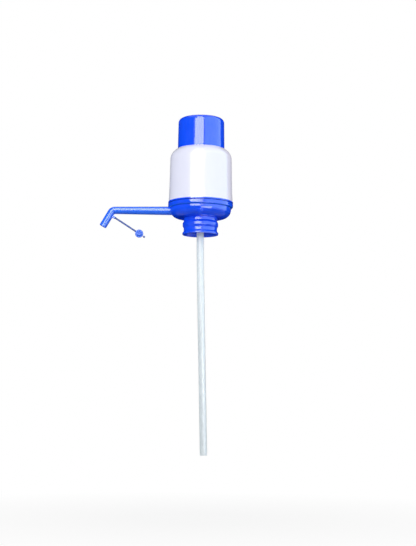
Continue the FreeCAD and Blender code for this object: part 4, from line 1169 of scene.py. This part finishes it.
@dataclass
class SpoutUnit(Unit):
    """Bent spout with the O-rings that seal it in the elbow."""

    axis_z: float = 17.6 * MM
    ring_places: tuple[float, ...] = (22.0 * MM, 30.0 * MM)
    ring_r: float = 5.95 * MM
    half_width: float = 0.78 * MM
    half_height: float = 0.5 * MM
    section_steps: int = 20

    def build(self) -> None:
        """Dress the spout and build its O-rings."""
        self.finishes.dress_node("spout", Finish.BLUE_SPOUT)
        work = bmesh.new()
        section = [(self.ring_r + self.half_height * math.cos(angle), self.half_width * math.sin(angle))
                   for angle in around(self.section_steps)]
        for place in self.ring_places:
            spot = Workshop.pointing(Vector((-place, 0, self.axis_z)), Vector((-1, 0, 0)))
            Workshop.turn(work, section, spot)
        rings = Workshop.finished("spout_seal_rings", work)
        self.finishes.dress_piece(rings, Finish.DARK_RUBBER, Body.SPOUT, "spout_o_rings")


@dataclass
class Closure(Unit):
    """Soft closure in one moulding: barrel with pins, strap, disc with hollow stopper, link, knob."""

    hinge: Vector = field(default_factory=lambda: Vector((-144.235, 0, 6.189)) * MM)
    drop_deg: float = 32.9
    reach: float = 50.5 * MM
    strap_w: float = 2.9 * MM
    strap_t: float = 1.8 * MM
    strap_start: float = 0.5 * MM
    strap_rows: int = 60
    strap_soft: float = 0.55
    strap_sink: float = 0.6
    corner_steps: int = 5
    flare: float = 0.6 * MM
    flare_length: float = 5.0 * MM
    barrel_r: float = 1.6 * MM
    barrel_w: float = 2.7 * MM
    pin_r: float = 0.92 * MM
    pin_span: float = 5.8 * MM
    disc_r: float = 6.8 * MM
    dimple: float = 0.25 * MM
    dimple_r: float = 2.6 * MM
    dimple_rim_r: float = 3.1 * MM
    stopper_r: float = 4.05 * MM
    stopper_bore: float = 2.2 * MM
    stopper_floor: float = 2.0 * MM
    stopper_h: float = 3.6 * MM
    edge: float = 0.5 * MM
    knob_reach: float = 9.9 * MM
    knob_r: float = 1.7 * MM
    knob_t: float = 2.4 * MM
    link_w: float = 1.2 * MM
    link_sink: float = 1 * MM
    bar_steps: int = 48
    link_steps: int = 24
    voxel: float = 0.13 * MM
    smoothings: int = 5

    def build(self) -> None:
        """Build the closure as one soft moulding and dress it."""
        work = bmesh.new()
        front = Vector((0, -1, 0))
        for radius, width in ((self.barrel_r, self.barrel_w), (self.pin_r, self.pin_span)):
            Workshop.turn(work, self.roller(radius, width / 2), Workshop.pointing(Vector(), front),
                          self.bar_steps)
        self.strap(work)
        disc = Workshop.rounded(self.disc(), arc_steps=5)
        Workshop.turn(work, disc, Workshop.pointing(Vector((self.reach, 0, 0)), front))
        knob_x = self.reach + self.knob_reach
        Workshop.turn(work, self.roller(self.knob_r, self.knob_t / 2),
                      Workshop.pointing(Vector((knob_x, 0, 0)), front), self.bar_steps)
        half = self.link_w / 2
        link = Workshop.rounded([(0, 0), (half, 0), (half, knob_x), (0, knob_x)], arc_steps=2)
        start = self.reach + self.disc_r - self.link_sink
        link = [(r, start + (knob_x - start) * (z / knob_x)) for r, z in link]
        Workshop.turn(work, link, Workshop.pointing(Vector(), Vector((1, 0, 0))), self.link_steps)
        piece = Workshop.finished("tethered_closure", work)
        melt = piece.modifiers.new("melt", "REMESH")
        melt.mode = "VOXEL"
        melt.voxel_size = self.voxel
        soften = piece.modifiers.new("soften", "SMOOTH")
        soften.factor = 0.5
        soften.iterations = self.smoothings
        Workshop.bake(piece)
        piece.data.transform(Matrix.Translation(self.hinge)
                             @ Matrix.Rotation(math.radians(self.drop_deg), 4, "Y"))
        piece.data.shade_smooth()
        self.finishes.dress_piece(piece, Finish.SOFT_BLUE, Body.CLOSURE, "spout_cap")

    def disc(self) -> list[Corner]:
        """Outline of the disc with its dimple and its hollow stopper.

        Returns:
            Corners (r, z, rounding).
        """
        face = self.strap_t / 2
        tip = face + self.stopper_h
        floor = face + self.stopper_floor
        return [
            (0, self.dimple - face), (self.dimple_r, self.dimple - face),
            (self.dimple_rim_r, -face, 0.2 * MM),
            (self.disc_r, -face, self.edge), (self.disc_r, face, self.edge),
            (self.stopper_r + 0.5 * MM, face), (self.stopper_r, face + 0.5 * MM, 0.3 * MM),
            (self.stopper_r - 0.2 * MM, tip, self.edge), (self.stopper_bore, tip, 0.3 * MM),
            (self.stopper_bore, floor, 0.4 * MM), (0, floor),
        ]

    def roller(self, radius: float, half: float) -> Outline:
        """Outline of a short round bar with soft edges."""
        edge = min(self.edge, radius * 0.5)
        return Workshop.rounded([(0, -half), (radius, -half, edge), (radius, half, edge), (0, half)],
                                arc_steps=5)

    def strap(self, work: Mesh) -> None:
        """Add the flat strap, wider where it joins the barrel and the disc.

        Args:
            work: Mesh to add to.
        """
        start, finish = self.strap_start, self.reach - self.disc_r * self.strap_sink
        thick = self.strap_t / 2
        rings = [[work.verts.new((start, 0, 0))]]
        for row in range(self.strap_rows + 1):
            x = start + (finish - start) * row / self.strap_rows
            near = min(x - start, finish - x) / self.flare_length
            wide = self.strap_w / 2 + self.flare * max(0.0, 1 - near) ** 2
            soft = min(wide, thick) * self.strap_soft
            ring = []
            for quarter, (side, face) in enumerate(((1, 1), (-1, 1), (-1, -1), (1, -1))):
                for step in range(self.corner_steps):
                    angle = (quarter + step / (self.corner_steps - 1)) * math.pi / 2
                    z = side * (wide - soft) + soft * math.cos(angle)
                    y = face * (thick - soft) + soft * math.sin(angle)
                    ring.append(work.verts.new((x, y, z)))
            rings.append(ring)
        rings.append([work.verts.new((finish, 0, 0))])
        Workshop.skin(work, rings, closed=False)


@dataclass
class AirRelease(Unit):
    """Button that lets the air out of the bottle, with its spring and its seal."""

    face: Vector = field(default_factory=lambda: Vector((0, -46.749, 9.701)) * MM)
    outward: Vector = field(default_factory=lambda: Vector((0, -1, -1)).normalized())
    well_floor: float = -6.8 * MM
    coil_r: float = 2.9 * MM
    wire_r: float = 0.3 * MM
    wire_steps: int = 20
    turns: float = 2.5
    coil_rows: int = 240
    low: float = 0.35 * MM
    high: float = 3.85 * MM
    stroke: float = 2.0 * MM
    seal_low: float = -9.65 * MM
    seal_high: float = -8.45 * MM
    seal_r: float = 3.8 * MM
    seal_bore: float = 1.55 * MM

    def build(self) -> None:
        """Build the spring and the seal, and dress the button."""
        foot = self.face + self.outward * self.well_floor
        piece = self.wire(self.coil(foot))
        self.finishes.dress_piece(piece, Finish.SPRING, Body.BASE, "release_spring")
        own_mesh(piece)
        corners = [(self.seal_bore, self.seal_low, 0.2 * MM), (self.seal_r, self.seal_low, 0.3 * MM),
                   (self.seal_r, self.seal_high, 0.1 * MM), (self.seal_bore, self.seal_high, 0.1 * MM)]
        seal = Workshop.lathe("vent_seal", corners, Workshop.pointing(self.face, self.outward), 64)
        self.finishes.dress_piece(seal, Finish.SILICONE, Body.RELEASE, "release_seal")
        self.finishes.dress_node("release_button", Finish.BLUE)

    def coil(self, foot: Vector) -> list[Vector]:
        """Points along the spring's wire.

        Args:
            foot: Middle of the well's floor.

        Returns:
            Points from the floor towards the button.
        """
        across = self.outward.orthogonal().normalized()
        beside = self.outward.cross(across)
        path = []
        for i in range(self.coil_rows + 1):
            share = i / self.coil_rows
            angle = FULL_TURN * self.turns * share
            reach = across * math.cos(angle) + beside * math.sin(angle)
            rise = self.low + (self.high - self.low) * share
            path.append(foot + reach * self.coil_r + self.outward * rise)
        return path

    def wire(self, path: list[Vector]) -> bpy.types.Object:
        """Round wire along a path, with closed ends.

        Args:
            path: Points of its centre line in metres.

        Returns:
            The new object.
        """
        work = bmesh.new()
        rings = [[work.verts.new(path[0])]]
        across = (path[1] - path[0]).orthogonal().normalized()
        for i, point in enumerate(path):
            ahead = (path[min(i + 1, len(path) - 1)] - path[max(i - 1, 0)]).normalized()
            across = (across - ahead * across.dot(ahead)).normalized()
            beside = ahead.cross(across)
            rings.append([work.verts.new(point + (across * math.cos(angle) + beside * math.sin(angle))
                                         * self.wire_r) for angle in around(self.wire_steps)])
        rings.append([work.verts.new(path[-1])])
        Workshop.skin(work, rings, closed=False)
        return Workshop.finished("button_spring", work)


@dataclass
class Softbox:
    """Upright rectangular lamp, placed by direction and angular size as seen from the pump."""

    name: str
    azimuth: tuple[float, float]
    elevation: tuple[float, float]
    radiance: float
    tint: Colour = WHITE
    distance: float = 1.6
    in_reflections: bool = True
    on_matt: bool = True
    faded: bool = False

    def build(self, aim: Vector) -> None:
        """Hang the lamp.

        Args:
            aim: Point whose level the elevations are measured from.
        """
        turn = math.radians(sum(self.azimuth) / 2)
        low, high = (self.distance * math.tan(math.radians(rise)) for rise in self.elevation)
        towards = Vector((math.sin(turn), -math.cos(turn), 0))
        width = 2 * self.distance * math.tan(math.radians(self.azimuth[1] - self.azimuth[0]) / 2)
        lamp = bpy.data.lights.new(self.name, "AREA")
        lamp.shape = "RECTANGLE"
        lamp.size = width
        lamp.size_y = high - low
        lamp.energy = math.pi * width * (high - low) * self.radiance
        lamp.color = self.tint
        if self.faded:
            self.fade(lamp)
        holder = bpy.data.objects.new(self.name, lamp)
        holder.location = aim + towards * self.distance + Vector((0, 0, (low + high) / 2))
        holder.rotation_euler = (-towards).to_track_quat("-Z", "Y").to_euler()
        holder.visible_camera = False
        holder.visible_glossy = self.in_reflections
        holder.visible_diffuse = self.on_matt
        holder.visible_transmission = False
        bpy.context.scene.collection.objects.link(holder)
        LOG.info("hung %s", self.name)

    @staticmethod
    def fade(lamp: bpy.types.Light) -> None:
        """Let a lamp's light rise from nothing at its left edge to full at its right edge.

        Args:
            lamp: Lamp to change.
        """
        bench = Bench(lamp)
        spot = bench.add("ShaderNodeNewGeometry").outputs["Parametric"]
        across = bench.add("ShaderNodeSeparateXYZ", spot).outputs["X"]
        rise = bench.add("ShaderNodeMapRange", across, interpolation_type="SMOOTHSTEP")
        bench.feed(bench.tree.nodes["Emission"], Strength=rise.outputs["Result"])


@dataclass
class Studio:
    """Camera, lamps, dark cards, floor and white background."""

    camera_place: Vector = field(default_factory=lambda: Vector((13.4, -2000.0, -326.0)) * MM)
    camera_pitch: float = 6.835
    camera_roll: float = 0.52
    focal_px: float = 1214.0
    frame_px: float = 546.0
    sensor: float = 36.0
    view_range: tuple[float, float] = (0.05, 50.0)
    aim: Vector = field(default_factory=lambda: Vector((0, 0, 60)) * MM)
    floor_z: float = -486 * MM
    floor_r: float = 4.0
    floor_tones: tuple[Colour, Colour] = ((0.86, 0.86, 0.87), (0.9, 0.9, 0.9))
    floor_grain: float = 40.0
    floor_fade: tuple[float, ...] = (0.1, 0.7, 0.9, 1.0)
    card_r: float = 0.8
    card_top: float = 1.2
    card_steps: int = 48
    low_card_steps: int = 64
    floor_steps: int = 96
    front_card_top: float = 0.0
    low_card_z: float = -0.42
    low_card_tone: Colour = (0.3, 0.3, 0.3)
    air_tone: Colour = (0.95, 0.97, 1.0)
    air_strength: float = 0.2

    def build(self) -> None:
        """Set the whole studio up."""
        self.camera()
        self.lamps()
        self.cards()
        self.floor()
        self.air()
        bpy.context.scene.view_settings.view_transform = "Standard"

    def camera(self) -> None:
        """Place the camera."""
        data = bpy.data.cameras.new("pump_camera")
        data.sensor_width = self.sensor
        data.lens = self.focal_px / self.frame_px * self.sensor
        data.clip_start, data.clip_end = self.view_range
        holder = bpy.data.objects.new("pump_camera", data)
        pitch = Matrix.Rotation(math.radians(90 + self.camera_pitch), 4, "X")
        roll = Matrix.Rotation(math.radians(self.camera_roll), 4, "Z")
        holder.matrix_world = Matrix.Translation(self.camera_place) @ pitch @ roll
        bpy.context.scene.collection.objects.link(holder)
        bpy.context.scene.camera = holder

    def lamps(self) -> None:
        """Hang the softboxes, each with its azimuths, elevations in degrees and radiance."""
        for box in (
            Softbox("cap_strip", (-31, 12), (14.2, 27), 9.5, on_matt=False),
            Softbox("high_strip", (-24, 10), (27, 60), 8.0, on_matt=False),
            Softbox("cover_strip", (-38.5, 8.7), (9.2, 14.2), 9.5, on_matt=False),
            Softbox("base_strip", (-40, -2), (7.5, 9.2), 9.5, on_matt=False),
            Softbox("collar_strip", (-33, 6), (1, 7.5), 9.5, on_matt=False),
            Softbox("right_sheen", (17, 114), (-36, 58), 2.5, PALE_BLUE, on_matt=False),
            Softbox("left_sheen", (-78, -41), (-20, 46), 1.4, PALE_BLUE, on_matt=False, faded=True),
            Softbox("left_key", (-85, -8), (-28, 50), 1.64, (0.95, 1.0, 1.0), in_reflections=False),
            Softbox("right_key", (8, 108), (-28, 64), 1.15, in_reflections=False),
            Softbox("rear_fill", (130, 230), (-20, 45), 1.4, in_reflections=False),
            Softbox("low_glint", (1, 43), (-34, -10), 6.5, distance=0.75, on_matt=False),
        ):
            box.build(self.aim)

    def cards(self) -> None:
        """Stand black cards round the pump for its reflections, and lay a grey one under it."""
        black = self.card_paint("black_card", (0.0, 0.0, 0.0))
        grey = self.card_paint("grey_card", self.low_card_tone)
        passed = ("camera", "diffuse", "transmission", "shadow", "volume_scatter")
        for name, first, last, top in (("left_card", -178, -37, self.card_top),
                                       ("right_card", 112, 178, self.card_top),
                                       ("front_card", -37, 17, self.front_card_top)):
            self.hide(self.curved_wall(name, first, last, top), black, passed)
        low = self.round_sheet("low_card", self.card_r, self.low_card_steps, self.low_card_z)
        self.hide(low, grey, ("camera", "transmission", "shadow", "volume_scatter"))

    @staticmethod
    def card_paint(name: str, tone: Colour) -> bpy.types.Material:
        """Dull material of a card.

        Args:
            name: Name of the material.
            tone: Its colour.

        Returns:
            The new material.
        """
        paint = Paint(name, tone)
        paint.feed(paint.shader, Base_Color=(*tone, 1.0), Roughness=1.0, Specular_IOR_Level=0.0)
        return paint.material

    @staticmethod
    def hide(card: bpy.types.Object, paint: bpy.types.Material, kinds: tuple[str, ...]) -> None:
        """Paint a card and make it unseen by some kinds of rays.

        Args:
            card: Card to hide.
            paint: Its material.
            kinds: Kinds of rays that pass it.
        """
        card.data.materials.append(paint)
        for kind in kinds:
            setattr(card, f"visible_{kind}", False)

    @staticmethod
    def round_sheet(name: str, radius: float, steps: int, z: float) -> bpy.types.Object:
        """Flat round sheet on the pump's axis.

        Args:
            name: Name of the sheet.
            radius: Its radius.
            steps: Sides of its outline.
            z: Its height.

        Returns:
            The new object.
        """
        work = bmesh.new()
        bmesh.ops.create_circle(work, cap_ends=True, segments=steps, radius=radius)
        sheet = Workshop.finished(name, work)
        sheet.location = (0, 0, z)
        return sheet

    def curved_wall(self, name: str, first: float, last: float, high: float) -> bpy.types.Object:
        """Upright curved sheet round the pump's axis.

        Args:
            name: Name of the sheet.
            first: Azimuth where it starts, in degrees.
            last: Azimuth where it ends.
            high: Height of its upper edge.

        Returns:
            The new object.
        """
        work = bmesh.new()
        turns = [math.radians(first + (last - first) * k / self.card_steps)
                 for k in range(self.card_steps + 1)]
        low, top = ([work.verts.new((self.card_r * math.sin(turn), -self.card_r * math.cos(turn), z))
                     for turn in turns] for z in (self.low_card_z, high))
        for k in range(self.card_steps):
            work.faces.new((low[k], low[k + 1], top[k + 1], top[k]))
        return Workshop.finished(name, work)

    def floor(self) -> None:
        """Lay a pale floor that keeps the pump's shadow and fades into the white background."""
        dark, pale = self.floor_tones
        paint = Paint("pale_floor", dark)
        paint.tint(paint.levels(paint.noise(self.floor_grain, detail=5.0), *paint.cloud_cut), pale)
        plain = paint.add("ShaderNodeBsdfDiffuse", paint.tone)
        fade = paint.levels(paint.reach(Vector()), *self.floor_fade)
        share = paint.times(fade, paint.seen_directly())
        white = paint.add("ShaderNodeEmission")
        mixed = paint.add("ShaderNodeMixShader", share, plain.outputs[0], white.outputs[0])
        paint.feed(paint.tree.nodes["Material Output"], Surface=mixed.outputs[0])
        floor = self.round_sheet("studio_floor", self.floor_r, self.floor_steps, self.floor_z)
        floor.data.materials.append(paint.material)

    def air(self) -> None:
        """Fill the studio with even soft light behind a white background."""
        world = bpy.data.worlds.new("studio_air")
        bpy.context.scene.world = world
        bench = Bench(world)
        bench.tree.nodes.clear()
        soft = bench.add("ShaderNodeBackground", (*self.air_tone, 1.0), self.air_strength)
        white = bench.add("ShaderNodeBackground", (*WHITE, 1.0))
        share = bench.seen_directly()
        mixed = bench.add("ShaderNodeMixShader", share, soft.outputs[0], white.outputs[0])
        bench.add("ShaderNodeOutputWorld", mixed.outputs[0])


def main() -> None:
    """Build the pump's looks and the studio."""
    logging.basicConfig(level=logging.INFO, format="%(name)s: %(message)s")
    finishes = Finishes()
    for unit in (PressHead, Housing, BellowsUnit, DeckUnit, BaseUnit, NeckUnit, SpoutUnit, Closure,
                 AirRelease):
        unit(finishes).build()
    Studio().build()


if __name__ == "__main__":
    main()
